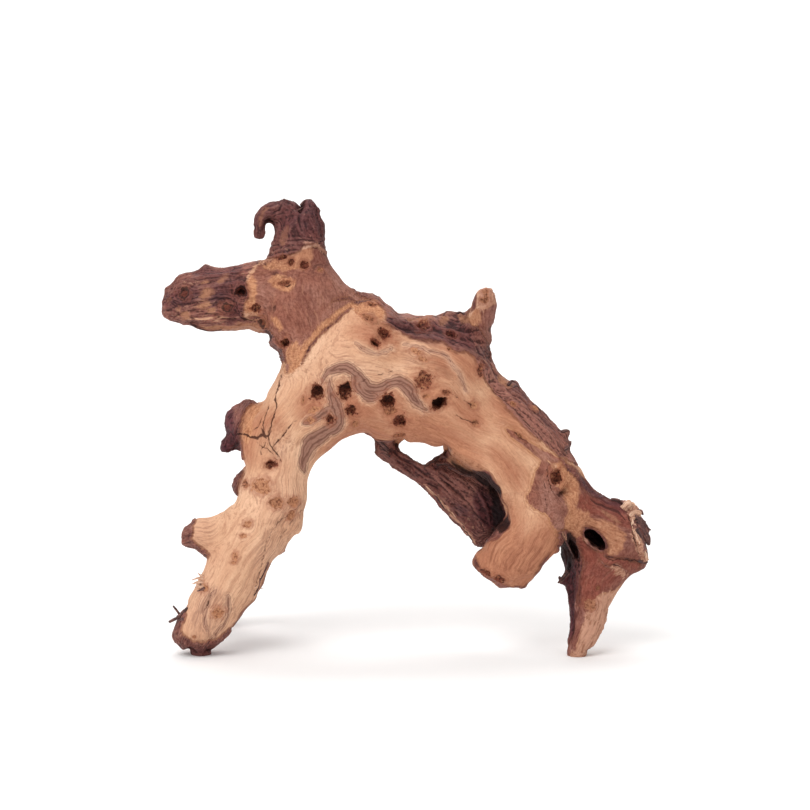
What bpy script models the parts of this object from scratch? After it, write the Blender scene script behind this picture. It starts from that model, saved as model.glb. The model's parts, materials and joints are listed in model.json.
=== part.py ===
"""A piece of mopani wood: a sandblasted root with a high arch, stubs and a hollow, standing on three feet.

Units are metres, with +Z up. The side with the most light wood faces -Y. The origin is on the ground,
under the middle of the piece. The wood is drawn as limbs that grow into one another, its surface is
carved, and it is then sawn apart at its main forks, so that each limb is a solid of its own.
"""

from collections import namedtuple
import math

import bmesh
import bpy
from mathutils import Matrix, Vector, noise
from mathutils.bvhtree import BVHTree
from mathutils.kdtree import KDTree

# Driving dimensions
LENGTH = 0.3205  # from the blunt end of the left arm to the torn end on the right
DRAWN_LENGTH = 320.5  # the same length in the units that the limbs are drawn in
UNIT = LENGTH / DRAWN_LENGTH
SHIFT = Vector((-1.9, -36, 0))  # from the drawing, whose depths count from the front feet, to the origin
SAW_GAP = 0.3  # between two limbs at a fork
TRIANGLES = 7900

# How fine the surface is made, in drawing units
FIRST_VOXEL = 2.6
LAST_VOXEL = 1.9
SMOOTHING_PASSES = 8

# A limb is a run of stations (across, depth, height, radius); flatness is its depth over its width.
Limb = namedtuple("Limb", "flatness stations")
LIMBS = {
    "leg and arch": Limb(0.86, [
        (-133, -2, -9, 4), (-133.5, -2, 3, 9), (-135.5, -2, 12, 16), (-131.5, -2, 22, 18),
        (-121, -3, 37, 18.5), (-110, -4, 59, 19), (-97.5, -4, 81, 21), (-86.5, -1, 103, 21.5),
        (-83, 2, 125, 21), (-74, 6, 149, 26), (-52, 9, 171, 33.5), (-30, 10, 190, 44.5), (-8, 10, 180, 41.5),
        (18, 9, 178.5, 40.5), (42, 9, 158, 32), (63, 8, 146, 30), (79, 8, 131, 29), (94, 6, 106, 27),
    ]),
    "head": Limb(0.82, [
        (-69, 10, 262, 19), (-68, 10, 246, 25), (-63, 9, 228, 32), (-56, 9, 209, 32), (-42, 9, 190, 35),
    ]),
    "left arm": Limb(0.9, [
        (-66, 10, 232, 23), (-92, 9, 234.5, 22.5), (-114, 7, 234.5, 21), (-133, 5, 233.5, 20.5),
        (-146, 4, 232.5, 16.5), (-153, 4, 231, 12), (-157, 4, 230, 8),
    ]),
    "crown": Limb(0.85, [
        (-70, 10, 258, 19), (-69, 11, 274, 16.5), (-69, 12, 285, 15.5), (-73, 12, 291, 10), (-75, 12, 294, 5),
    ]),
    "crown horn": Limb(1.0, [(-60, 12, 280, 9), (-60, 12, 290, 7.5), (-61.5, 12, 296, 4.5)]),
    "crown hook": Limb(1.0, [
        (-76, 12, 289.5, 9), (-85, 11, 289.5, 8), (-92.5, 9, 285, 6), (-95, 7, 279, 4.8), (-95, 6, 271, 4.4),
    ]),
    "top spur": Limb(0.95, [
        (46, 12, 198, 14), (48.5, 13, 214, 11), (51, 13, 224, 9), (52.5, 12, 234, 8.5), (52, 12, 240, 6),
    ]),
    "pocket lip": Limb(1.0, [
        (30, -2, 142, 9), (44, -6, 132, 9), (57, -8, 124, 9), (65, -9, 114, 8.5), (70, -9, 102, 8.5),
        (73, -8, 90, 9), (66, -6, 74, 10),
    ]),
    "pocket wall": Limb(0.42, [
        (-19, 15, 137, 7), (-12, 18, 133, 7.5), (-1, 20, 126, 7.5), (12, 22, 118, 9), (27, 24, 108, 13),
        (40, 26, 98, 18), (54, 26, 88, 20), (66, 22, 80, 18),
    ]),
    "pocket heel": Limb(0.8, [(22, 27, 129, 5.5), (31, 27, 130, 9), (46, 27, 126, 14), (60, 27, 116, 15)]),
    "lobe": Limb(0.95, [
        (90, 2, 102, 25), (85, -3, 84, 19.5), (72, -6, 68.5, 21.5), (66.5, -8, 57, 18.5), (67, -8, 51, 11),
    ]),
    "block": Limb(0.9, [
        (99, 6, 104, 23.5), (117, 9, 88, 20.5), (134, 10, 78, 23.5), (148, 11, 76, 20.5), (158, 11, 73, 15.5),
    ]),
    "right foot": Limb(0.92, [
        (132, 9, 65, 21.5), (124.5, 5, 45, 16.5), (120.5, 0, 26, 13), (116.5, -4, 12, 10.5), (112, -6, 1, 7),
        (109, -7, -8, 3),
    ]),
    "dark strut": Limb(1.0, [
        (107.5, 18, 86, 8), (110.5, 19, 68, 7), (112, 15, 55, 6), (114, 10, 44, 7),
    ]),
    "left upper knob": Limb(1.0, [
        (-86, 14, 150, 17), (-104, 19, 151, 15.5), (-110, 21, 142, 11.5), (-116, 20, 136, 6.5), (-120, 19, 133, 5),
    ]),
    "left upper knob top": Limb(1.0, [(-98, 16, 157, 9), (-105, 18, 160, 8.5), (-111, 19, 150, 8.5)]),
    "left knob face": Limb(0.8, [(-93, 4, 157, 10), (-95, 3, 146, 12), (-96, 3, 132, 12)]),
    "left middle knob": Limb(1.0, [(-90, 12, 112, 13), (-103, 19, 110, 13), (-110, 21, 109, 10)]),
    "left lower knob": Limb(0.9, [
        (-104, -3, 83, 17), (-124, 0, 78.5, 13.5), (-138, 3, 78.5, 12), (-145.5, 4, 78.5, 9),
    ]),
    "leg corner": Limb(1.0, [(-78, -4, 87, 12), (-67.5, -4, 85, 7)]),
    "rear root": Limb(1.0, [
        (-86, 10, 108, 20), (-89, 34, 88, 16.5), (-104, 58, 62, 13.5), (-122, 76, 34, 12.5),
        (-133, 86, 12, 12), (-140, 92, -9, 10),
    ]),
    "rear stub": Limb(1.0, [(8, 30, 190, 20), (15, 48, 199, 13), (19, 56, 203, 9)]),
}

# Small lumps and torn stubs (across, depth, height, radius)
LUMPS = [
    (-130, 5, 252, 4.5), (-26, 9, 232, 6), (-46, 9, 238, 12), (28, 12, 221.5, 6), (40, 12, 220, 7.5),
    (72, 11, 174, 5), (104, 9, 146, 5), (107, 12, 137, 5), (144, 12, 94, 6), (152, 14, 90, 5.5),
    (159, 14, 82, 5), (154, 10, 60.5, 7), (48, -8, 62, 6), (61, -7, 49, 6.5), (75, -8, 49.5, 7),
    (-103, 4, 131, 6), (102.5, 13, 48, 3.5), (-144.5, -3, 14, 8), (30, 40, 170, 9), (90, 26, 118, 8),
    (-60, 38, 160, 8),
]

# Hollows are ellipsoids cut from the wood: centre, radii, and the turn about the depth axis in degrees
Hollow = namedtuple("Hollow", "centre radii turn")
HOLLOWS = [
    Hollow((56, 9, 98), (27, 9.5, 16), -52),  # the pocket behind the lip
    Hollow((70, 8, 82), (12, 8, 10), -40),  # its lower end
    Hollow((123.5, -4, 78), (8, 13, 4), -45),  # the slot in the block
    Hollow((110, 2, 72), (3, 9, 9), 20),  # the shadow between lobe and foot
    Hollow((10, 47, 165), (10, 9, 7), 15),  # a rot hole in the back of the arch
]

# Knot holes on the front: across, height, half width, half height, depth, turn in degrees
FRONT_PITS = [
    (-57, 172, 4.5, 4.5, 4.5, 0), (-38.5, 172, 4.5, 5.5, 4.5, -10), (-36, 160, 3.8, 3.8, 4, 0),
    (-49, 154, 3, 3, 3, 0), (-10.5, 166, 5.5, 6, 5, 0), (-3, 153, 4.5, 5.5, 4, 0),
    (12, 179, 6.5, 6.5, 3, 0), (22.5, 166, 6.5, 4.2, 5.5, 35), (-19.5, 204, 3.8, 3, 4.5, -30),
    (-14, 210, 5, 4.5, 3, -30), (-88, 125, 3.6, 3, 5, 0), (98, 118, 4.5, 6, 4, 10),
    (-108, 238, 3.4, 3.4, 3, 0), (-78, 205, 3.2, 3, 3, 0), (-97, 225, 3.5, 3.5, 2.5, 0),
    (31, 207, 3, 3, 2.5, 0), (-66, 255, 3.2, 2.6, 2.5, 0),
]
BACK_PITS = [
    (-30, 178, 5, 5, 4, 0), (-52, 196, 5.5, 4.5, 4, 20), (42, 168, 6, 4.5, 4.5, -30), (60, 150, 5, 5, 4, 0),
    (-76, 228, 4.5, 4.5, 3.5, 0), (92, 104, 5, 4, 4, -40), (-112, 232, 4, 4, 3, 0), (-104, 60, 4.5, 5, 3.5, 0),
]

# Broad swells and the flutes that run along the limbs
SWELL_SPACING = 21.0
SWELL_HEIGHT = 1.5
FLUTE_SPACING = 8.0
FLUTE_LENGTH = 60.0
FLUTE_HEIGHT = 1.3
BARK_LIMBS = {"left arm", "crown", "crown horn", "pocket wall", "block", "dark strut", "rear root"}

# Saw cuts at the main forks: centre, the way the limb runs there, half width and half depth
Fork = namedtuple("Fork", "centre run half_width half_depth")
FORKS = [
    Fork((-97, 9, 234), (1, 0, 0.12), 29, 28),  # left arm
    Fork((-69, 10, 262), (0.05, 0, 1), 24, 24),  # hooked crown
    Fork((50, 13, 218), (0.6, 0, 0.8), 19, 28),  # top spur
    Fork((-66.5, 8, 156.6), (0.5, 0, 0.866), 37, 44),  # left leg
    Fork((-92, 41, 82), (-0.15, 0.74, -0.65), 23, 21),  # rear root
    Fork((42, 9, 158), (0.81, 0, -0.58), 42, 50),  # right root
    Fork((-3, 19, 130.5), (0.8, 0, -0.6), 11, 16),  # thin end of the pocket wall
    Fork((106, 8, 106), (0.97, 0, -0.243), 42, 40),  # right foot
]

# Each solid's name, a point inside it and its colour
Wood = namedtuple("Wood", "name inside colour")
LIGHT_WOOD = (0.68, 0.42, 0.25)
DARK_WOOD = (0.13, 0.055, 0.045)
RED_WOOD = (0.30, 0.13, 0.09)
WOODS = [
    Wood("arch_trunk", (0, 10, 190), LIGHT_WOOD),
    Wood("left_arm", (-125, 6, 232), DARK_WOOD),
    Wood("hooked_crown", (-69, 11, 280), DARK_WOOD),
    Wood("top_spur", (51, 13, 231), RED_WOOD),
    Wood("left_leg", (-110, -9, 58), LIGHT_WOOD),
    Wood("rear_root", (-122, 76, 34), DARK_WOOD),
    Wood("right_root", (85, 6, 118), LIGHT_WOOD),
    Wood("right_foot", (119, 0, 24), RED_WOOD),
]
WOOD_ROUGHNESS = 0.62


def clear_scene():
    for obj in list(bpy.data.objects):
        bpy.data.objects.remove(obj)


def drawn(across, depth, height):
    """A point of the drawing as a point of the model, in metres."""
    return (Vector((across, depth, height)) + SHIFT) * UNIT


def limb_mesh(name, limb):
    """A tube through the limb's stations, flattened in depth."""
    curve = bpy.data.curves.new(name, "CURVE")
    curve.dimensions = "3D"
    curve.resolution_u = 6
    curve.bevel_depth = UNIT
    curve.bevel_resolution = 6
    curve.use_fill_caps = True
    spline = curve.splines.new("BEZIER")
    spline.radius_interpolation = "CARDINAL"
    spline.bezier_points.add(len(limb.stations) - 1)
    for point, (across, depth, height, radius) in zip(spline.bezier_points, limb.stations):
        point.co = drawn(across, depth, height) * Vector((1, 1 / limb.flatness, 1))
        point.radius = radius
        point.handle_left_type = point.handle_right_type = "AUTO"
    tube = bpy.data.objects.new(name, curve)
    bpy.context.scene.collection.objects.link(tube)
    bpy.context.view_layer.update()
    mesh = bpy.data.meshes.new_from_object(tube.evaluated_get(bpy.context.evaluated_depsgraph_get()))
    mesh.transform(Matrix.Diagonal((1, limb.flatness, 1, 1)))
    bpy.data.objects.remove(tube)
    return mesh


def grown_together():
    """All limbs and lumps as overlapping closed shells in one object."""
    shells = bmesh.new()
    for name, limb in LIMBS.items():
        shells.from_mesh(limb_mesh(name, limb))
    bmesh.ops.remove_doubles(shells, verts=shells.verts, dist=1e-6)
    for across, depth, height, radius in LUMPS:
        bmesh.ops.create_icosphere(
            shells, subdivisions=2, radius=radius * UNIT, matrix=Matrix.Translation(drawn(across, depth, height))
        )
    mesh = bpy.data.meshes.new("mopani wood")
    shells.to_mesh(mesh)
    shells.free()
    wood = bpy.data.objects.new("mopani wood", mesh)
    bpy.context.scene.collection.objects.link(wood)
    return wood


def apply_modifiers(obj):
    """Replaces the object's mesh by what its modifiers make of it."""
    bpy.context.view_layer.update()
    made = bpy.data.meshes.new_from_object(obj.evaluated_get(bpy.context.evaluated_depsgraph_get()))
    obj.modifiers.clear()
    obj.data = made


def remesh(obj, voxel):
    """One skin over all the shells."""
    skin = obj.modifiers.new("skin", "REMESH")
    skin.mode = "VOXEL"
    skin.voxel_size = voxel * UNIT
    apply_modifiers(obj)


def ease_creases(obj):
    """Softens the creases where limbs meet."""
    ease = obj.modifiers.new("ease", "SMOOTH")
    ease.factor = 0.5
    ease.iterations = SMOOTHING_PASSES
    apply_modifiers(obj)


def subtract(obj, cutters):
    """Cuts the closed cutter objects from obj, and removes them."""
    for cutter in cutters:
        cut = obj.modifiers.new(cutter.name, "BOOLEAN")
        cut.operation = "DIFFERENCE"
        cut.solver = "EXACT"
        cut.object = cutter
    apply_modifiers(obj)
    for cutter in cutters:
        bpy.data.objects.remove(cutter)


def cutter_from(shape, name):
    mesh = bpy.data.meshes.new(name)
    shape.to_mesh(mesh)
    shape.free()
    cutter = bpy.data.objects.new(name, mesh)
    bpy.context.scene.collection.objects.link(cutter)
    return cutter


def hollow_cutter():
    """All the hollows as one cutter, whose ellipsoids are grown together under one skin."""
    shape = bmesh.new()
    for hollow in HOLLOWS:
        turned = Matrix.Rotation(math.radians(-hollow.turn), 4, "Y")
        place = Matrix.Translation(drawn(*hollow.centre)) @ turned @ Matrix.Diagonal((*hollow.radii, 1))
        bmesh.ops.create_uvsphere(shape, u_segments=24, v_segments=16, radius=UNIT, matrix=place)
    cutter = cutter_from(shape, "hollow")
    remesh(cutter, LAST_VOXEL)
    return cutter


def centreline():
    """Points along every limb, each with the limb's direction there and the limb's name."""
    steps = 8
    points = []
    for name, limb in LIMBS.items():
        places = [drawn(*station[:3]) for station in limb.stations]
        for start, end in zip(places, places[1:]):
            run = (end - start).normalized()
            points += [(start.lerp(end, step / steps), run, name) for step in range(steps)]
    return points


def carve_relief(obj):
    """Broad swells everywhere, and flutes along the limbs that still carry dark outer wood."""
    points = centreline()
    tree = KDTree(len(points))
    for index, (place, _, _) in enumerate(points):
        tree.insert(place, index)
    tree.balance()
    moved = []
    for vertex in obj.data.vertices:
        _, index, _ = tree.find(vertex.co)
        place, run, name = points[index]
        drawn_at = vertex.co / UNIT
        height = SWELL_HEIGHT * noise.noise(drawn_at / SWELL_SPACING)
        if name in BARK_LIMBS:
            along = run * (drawn_at.dot(run))
            fluted = (drawn_at - along) / FLUTE_SPACING + along / FLUTE_LENGTH
            height += FLUTE_HEIGHT * (0.5 - 2 * abs(noise.noise(fluted)))
        moved.append(vertex.co + vertex.normal * height * UNIT)
    for vertex, place in zip(obj.data.vertices, moved):
        vertex.co = place


def carve_pits(obj, pits, looking):
    """Presses a rounded pit into the surface that shows along the looking direction at each place."""
    surface = bmesh.new()
    surface.from_mesh(obj.data)
    tree = BVHTree.FromBMesh(surface)
    for across, height, half_width, half_height, depth, turn in pits:
        start = drawn(across, 0, height) - looking * LENGTH
        hit, normal, _, _ = tree.ray_cast(start, looking)
        turned = math.radians(turn)
        wide = Vector((math.cos(turned), 0, math.sin(turned))) / (half_width * UNIT)
        tall = Vector((-math.sin(turned), 0, math.cos(turned))) / (half_height * UNIT)
        reach = max(half_width, half_height, depth) * UNIT
        for vertex in surface.verts:
            offset = vertex.co - hit
            if abs(offset.y) > 2 * reach or offset.length > 3 * reach:
                continue
            share = math.hypot(offset.dot(wide), offset.dot(tall))
            if share < 1:
                vertex.co -= normal * depth * UNIT * (1 - share**2) ** 0.7
    surface.to_mesh(obj.data)
    surface.free()


def thin_out(obj):
    """Leaves about as many triangles as the solids may have, most of them where the wood is most curved."""
    bpy.context.view_layer.update()
    obj.data.calc_loop_triangles()
    thin = obj.modifiers.new("thin", "DECIMATE")
    thin.ratio = TRIANGLES / len(obj.data.loop_triangles)
    thin.use_collapse_triangulate = True
    apply_modifiers(obj)


def wear_feet_flat(obj):
    """Cuts the feet off level with the ground."""
    shape = bmesh.new()
    shape.from_mesh(obj.data)
    everything = shape.verts[:] + shape.edges[:] + shape.faces[:]
    cut = bmesh.ops.bisect_plane(
        shape, geom=everything, dist=1e-7, plane_co=(0, 0, 0), plane_no=(0, 0, 1), clear_inner=True
    )
    rim = [item for item in cut["geom_cut"] if isinstance(item, bmesh.types.BMEdge)]
    bmesh.ops.triangle_fill(shape, edges=rim, use_beauty=True, normal=(0, 0, -1))
    shape.to_mesh(obj.data)
    shape.free()


def fork_saw(fork):
    """The thin slab that a saw would take out across the limb."""
    run = Vector(fork.run).normalized()
    across = run.cross(Vector((0, 1, 0))).normalized()
    axes = Matrix((across, across.cross(run), run)).transposed().to_4x4()
    shape = bmesh.new()
    bmesh.ops.create_cube(shape, size=2 * UNIT)
    sized = Matrix.Diagonal((fork.half_width, fork.half_depth, SAW_GAP / 2, 1))
    bmesh.ops.transform(shape, matrix=Matrix.Translation(drawn(*fork.centre)) @ axes @ sized, verts=shape.verts)
    bmesh.ops.recalc_face_normals(shape, faces=shape.faces)
    return cutter_from(shape, "saw")


def wood_material(wood):
    material = bpy.data.materials.new(wood.name)
    material.use_nodes = True
    shader = material.node_tree.nodes["Principled BSDF"]
    shader.inputs["Base Color"].default_value = (*wood.colour, 1)
    shader.inputs["Roughness"].default_value = WOOD_ROUGHNESS
    shader.inputs["Metallic"].default_value = 0
    return material


def sawn_apart(obj, collection):
    """Splits the sawn wood into its loose solids, and names each by the point that lies nearest to it."""
    bpy.context.view_layer.objects.active = obj
    obj.select_set(True)
    bpy.ops.mesh.separate(type="LOOSE")
    parts = [part for part in bpy.context.scene.objects if part.type == "MESH"]
    if len(parts) != len(WOODS):
        sizes = sorted(len(part.data.vertices) for part in parts)
        raise ValueError(f"the forks leave {len(parts)} solids and not {len(WOODS)}: {sizes}")
    trees = {part: BVHTree.FromObject(part, bpy.context.evaluated_depsgraph_get()) for part in parts}
    for wood in WOODS:
        inside = drawn(*wood.inside)
        part = min(trees, key=lambda each: trees[each].find_nearest(inside)[3])
        del trees[part]
        part.name = wood.name
        part.data.name = wood.name
        part.data.materials.clear()
        part.data.materials.append(wood_material(wood))
        part.data.shade_smooth()
        part.data.set_sharp_from_angle(angle=math.radians(50))
        bpy.context.scene.collection.objects.unlink(part)
        collection.objects.link(part)


def main():
    clear_scene()
    collection = bpy.data.collections.new("Mopani wood")
    bpy.context.scene.collection.children.link(collection)
    wood = grown_together()
    remesh(wood, FIRST_VOXEL)
    subtract(wood, [hollow_cutter()])
    remesh(wood, LAST_VOXEL)
    ease_creases(wood)
    carve_relief(wood)
    carve_pits(wood, FRONT_PITS, Vector((0, 1, 0)))
    carve_pits(wood, BACK_PITS, Vector((0, -1, 0)))
    thin_out(wood)
    wear_feet_flat(wood)
    subtract(wood, [fork_saw(fork) for fork in FORKS])
    sawn_apart(wood, collection)


main()
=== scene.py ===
"""Dresses a sandblasted mopani root: one skin over all its limbs, carved, coloured and split again at the forks."""

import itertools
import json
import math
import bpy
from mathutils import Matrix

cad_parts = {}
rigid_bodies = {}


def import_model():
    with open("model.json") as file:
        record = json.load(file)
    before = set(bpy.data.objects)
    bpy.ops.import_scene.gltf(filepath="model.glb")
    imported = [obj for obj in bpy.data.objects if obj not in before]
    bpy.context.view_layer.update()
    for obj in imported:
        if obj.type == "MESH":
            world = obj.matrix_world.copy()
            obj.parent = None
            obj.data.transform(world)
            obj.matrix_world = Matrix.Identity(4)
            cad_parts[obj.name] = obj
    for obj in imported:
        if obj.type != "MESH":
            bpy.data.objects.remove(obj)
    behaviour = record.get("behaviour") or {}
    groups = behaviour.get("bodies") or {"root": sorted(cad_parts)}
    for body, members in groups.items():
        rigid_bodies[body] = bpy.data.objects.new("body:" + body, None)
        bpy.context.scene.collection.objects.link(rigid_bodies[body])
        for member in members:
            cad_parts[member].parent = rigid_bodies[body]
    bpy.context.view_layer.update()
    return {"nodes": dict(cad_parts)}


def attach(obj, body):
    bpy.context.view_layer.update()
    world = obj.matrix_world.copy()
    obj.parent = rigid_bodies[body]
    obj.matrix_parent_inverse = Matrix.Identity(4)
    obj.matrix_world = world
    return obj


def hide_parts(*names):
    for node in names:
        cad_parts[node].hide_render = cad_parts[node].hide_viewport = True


bl_info = {
    "name": "Mopani Wood",
    "version": (1, 0, 0),
    "blender": (4, 5, 0),
    "location": "3D View > Sidebar > Mopani Wood",
    "description": "Carves and colours a sandblasted mopani root over its plain solids",
    "category": "Object",
}

from collections import namedtuple

import bmesh
import bpy
import numpy as np
from mathutils import Vector
from mathutils.bvhtree import BVHTree

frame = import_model()

MM = 0.001
# The wood's drawing has its zero at the front feet, this far from the model's origin, in millimetres
DRAWING_SHIFT = np.array([1.9, 36.0, 0.0])

# The front view: an 85 mm lens that looks down a little. Marks on the front are placed on it, by how far
# right and down they lie from its upper left corner, in steps of STEP millimetres at the front feet.
STEP = 0.65
VIEW_STEPS = 810
LENS = 85.0
SENSOR = 36.0
FOCUS = LENS / SENSOR * VIEW_STEPS
VIEW_TILT = math.radians(6)
VIEW_TARGET = np.array([-1.9, -36.0, 164.7])
LOOK = np.array([0.0, math.cos(VIEW_TILT), -math.sin(VIEW_TILT)])
VIEW_RIGHT = np.array([1.0, 0.0, 0.0])
VIEW_UP = np.array([0.0, math.sin(VIEW_TILT), math.cos(VIEW_TILT)])
EYE = VIEW_TARGET - LOOK * FOCUS * STEP

# The middle lines of the limbs (across, depth, height, radius), which the grain follows
LIMBS = {
    "leg and arch": [
        (-134, -2, 0, 12), (-121, -3, 37, 18), (-110, -4, 59, 19), (-97, -4, 81, 21), (-86, -1, 103, 21),
        (-83, 2, 125, 21), (-74, 6, 149, 26), (-52, 9, 171, 33), (-30, 10, 188, 42), (-8, 10, 182, 41),
        (18, 9, 177, 40), (42, 9, 158, 32), (63, 8, 146, 30), (79, 8, 131, 29), (92, 6, 106, 26),
        (85, -3, 84, 20), (72, -6, 68, 20), (65, -8, 45, 14),
    ],
    "head": [(-69, 10, 258, 19), (-68, 10, 246, 25), (-63, 9, 228, 31), (-52, 9, 205, 30)],
    "arm": [(-90, 9, 234, 22), (-114, 7, 234, 21), (-133, 5, 233, 20), (-158, 4, 231, 12)],
    "crown": [(-69, 10, 259, 18), (-69, 11, 274, 16), (-71, 12, 292, 11)],
    "hook": [(-76, 12, 290, 9), (-86, 11, 290, 8), (-93, 9, 285, 6), (-95, 6, 270, 4)],
    "spur": [(47, 13, 205, 12), (51, 13, 224, 9), (52, 12, 244, 6)],
    "tongue": [(-20, 16, 140, 6), (0, 20, 126, 6), (27, 24, 108, 9), (54, 26, 88, 12)],
    "block": [(100, 6, 104, 22), (117, 9, 88, 20), (134, 10, 77, 22), (160, 11, 73, 16)],
    "foot": [(132, 9, 66, 20), (124, 5, 45, 16), (120, 0, 26, 13), (112, -6, 0, 7)],
    "upper knob": [(-92, 16, 152, 14), (-106, 19, 150, 14), (-112, 21, 140, 9), (-120, 19, 132, 5)],
    "middle knob": [(-94, 14, 111, 12), (-113, 21, 109, 9)],
    "lower knob": [(-108, -2, 81, 14), (-126, 0, 79, 13), (-147, 4, 78, 8)],
    "rear root": [
        (-86, 14, 106, 18), (-89, 34, 88, 16), (-104, 58, 62, 13), (-122, 76, 34, 12), (-136, 88, 0, 10),
    ],
    "rear stub": [(8, 32, 190, 18), (19, 58, 204, 8)],
}

# Outlines of the wood's kinds on the front view
DARK_WOOD = {
    "arm": [
        (272, 253), (262, 262), (253, 269), (248, 276), (246, 285), (248, 294), (245, 303), (243, 312), (244, 320),
        (253, 321), (262, 318), (265, 326), (270, 332), (272, 345), (130, 345), (130, 235), (255, 250),
    ],
    "crown": [
        (240, 185), (345, 185), (338, 258), (329, 254), (321, 246), (308, 243), (301, 248), (300, 252), (288, 254),
        (280, 257), (268, 259), (255, 250), (243, 245),
    ],
    "neck": [(262, 330), (272, 332), (276, 343), (282, 352), (285, 364), (262, 362)],
    "ridge": [
        (352, 285), (356, 296), (368, 297), (380, 303), (387, 312), (388, 321), (380, 323), (388, 326), (398, 328),
        (405, 335), (418, 339), (432, 341), (446, 343), (453, 350), (468, 352), (478, 358), (478, 373), (483, 375),
        (492, 388), (503, 402), (513, 413), (524, 428), (540, 440), (553, 449), (563, 458), (600, 470), (610, 380),
        (520, 340), (500, 350), (486, 340), (479, 327), (470, 324), (466, 312), (470, 280),
    ],
    "upper knob": [
        (205, 390), (258, 393), (255, 401), (247, 407), (242, 415), (239, 426), (239, 436), (242, 446), (243, 462),
        (232, 466), (205, 466),
    ],
    "middle knob": [(222, 463), (243, 468), (240, 480), (238, 498), (222, 504)],
    "lower knob": [(170, 508), (197, 517), (191, 529), (191, 541), (199, 547), (210, 556), (200, 562), (170, 556)],
    "foot rim": [
        (160, 604), (182, 608), (186, 618), (181, 628), (183, 636), (190, 641), (203, 644), (213, 641), (222, 636),
        (231, 628), (240, 636), (220, 668), (165, 668),
    ],
    "leg edge": [(250, 611), (260, 594), (268, 577), (279, 562), (287, 551), (304, 551), (290, 572), (268, 609)],
    "block end": [
        (598, 480), (600, 496), (612, 500), (623, 505), (630, 517), (634, 531), (640, 545), (643, 560), (638, 567),
        (665, 570), (665, 480),
    ],
    "foot back": [(556, 532), (570, 530), (577, 545), (581, 562), (577, 585), (574, 610), (571, 645), (552, 650)],
}
RED_WOOD = {
    "head": [
        (257, 267), (268, 260), (300, 253), (318, 247), (332, 250), (350, 270), (364, 286), (374, 293), (368, 298),
        (350, 303), (338, 312), (324, 322), (313, 334), (305, 346), (297, 357), (290, 369), (286, 374), (283, 360),
        (279, 345), (268, 330), (262, 318), (255, 306), (255, 290), (250, 278),
    ],
    "spur": [
        (466, 324), (474, 312), (480, 310), (488, 308), (500, 300), (506, 304), (500, 362), (486, 350), (476, 334),
    ],
    "shoulder": [
        (505, 427), (516, 431), (530, 443), (548, 452), (560, 458), (576, 468), (590, 484), (602, 499), (590, 506),
        (578, 502), (576, 485), (568, 468), (556, 464), (540, 459), (525, 447), (512, 437),
    ],
    "lobe patch": [
        (541, 460), (551, 463), (553, 470), (551, 482), (557, 488), (564, 490), (568, 500), (570, 509), (569, 519),
        (565, 527), (559, 533), (553, 526), (548, 515), (538, 511), (530, 503), (527, 496), (532, 487), (534, 474),
    ],
    "block": [
        (573, 497), (600, 498), (627, 505), (634, 530), (644, 556), (644, 572), (622, 584), (612, 592), (600, 594),
        (592, 602), (587, 616), (580, 632), (575, 656), (560, 656), (566, 600), (572, 560), (572, 540), (588, 532),
        (584, 520), (574, 513),
    ],
}
ORANGE_WOOD = {
    "head knots": [
        (262, 268), (270, 262), (279, 257), (292, 255), (301, 251), (311, 249), (313, 258), (309, 267), (302, 270),
        (296, 267), (289, 271), (280, 270), (270, 269),
    ],
    "head patch": [
        (270, 277), (276, 275), (284, 276), (291, 278), (296, 281), (295, 286), (290, 290), (282, 290), (275, 288),
        (270, 283),
    ],
    "right knot": [
        (557, 461), (566, 462), (574, 470), (579, 482), (580, 496), (577, 508), (585, 512), (580, 522), (568, 528),
        (569, 518), (568, 508), (564, 497), (560, 489), (557, 478),
    ],
    "head rim": [(247, 277), (255, 277), (257, 290), (255, 303), (251, 313), (244, 313), (246, 300), (248, 290)],
    "head border": [
        (358, 303), (345, 313), (331, 325), (316, 339), (308, 351), (301, 364), (290, 374), (287, 370), (295, 357),
        (304, 344), (313, 332), (325, 320), (338, 311), (349, 303),
    ],
    "neck": [(271, 317), (277, 318), (282, 328), (280, 333)],
    "neck low": [(289, 347), (298, 341), (301, 350), (297, 364), (287, 366), (283, 356)],
    "knob side": [(243, 404), (264, 400), (257, 411), (251, 422), (252, 436), (247, 444), (240, 437), (240, 420)],
    "slot": [
        (566, 517), (572, 510), (588, 511), (592, 520), (604, 520), (616, 525), (625, 533), (627, 545), (620, 553),
        (610, 555), (604, 551), (597, 549), (588, 543), (580, 538), (574, 530), (566, 528),
    ],
    "ridge knots": [(352, 305), (362, 301), (377, 302), (386, 310), (383, 319), (372, 323), (361, 318)],
    "spur foot": [(468, 319), (474, 309), (480, 312), (481, 320), (476, 328), (468, 326)],
}
PALE_WOOD = {
    "spur tip": [(479, 309), (480, 296), (482, 280), (492, 282), (500, 296), (494, 302), (487, 306), (483, 313)],
    "torn end": [(623, 507), (622, 499), (636, 499), (643, 510), (640, 519), (631, 517)],
    "torn strip": [(632, 527), (636, 528), (641, 543), (647, 553), (648, 561), (643, 562), (636, 548), (633, 538)],
    "foot": [
        (612, 588), (613, 610), (610, 640), (594, 662), (566, 664), (571, 652), (577, 645), (579, 632), (584, 617),
        (594, 602), (603, 595),
    ],
    "foot wedge": [(611, 567), (617, 568), (629, 575), (622, 579)],
}
# Light wood painted dark where it turns into a hollow: painted shade at the hollow's rim
SHADED_RIMS = {
    "pocket rim": [
        (447, 451), (452, 457), (459, 462), (470, 466), (480, 468), (489, 473), (495, 482), (498, 493), (502, 506),
        (506, 519), (508, 527), (503, 533), (495, 538), (489, 542), (480, 543), (479, 550), (473, 550), (466, 538),
        (484, 528), (492, 512), (490, 498), (482, 490), (468, 482), (447, 464),
    ],
}
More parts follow.
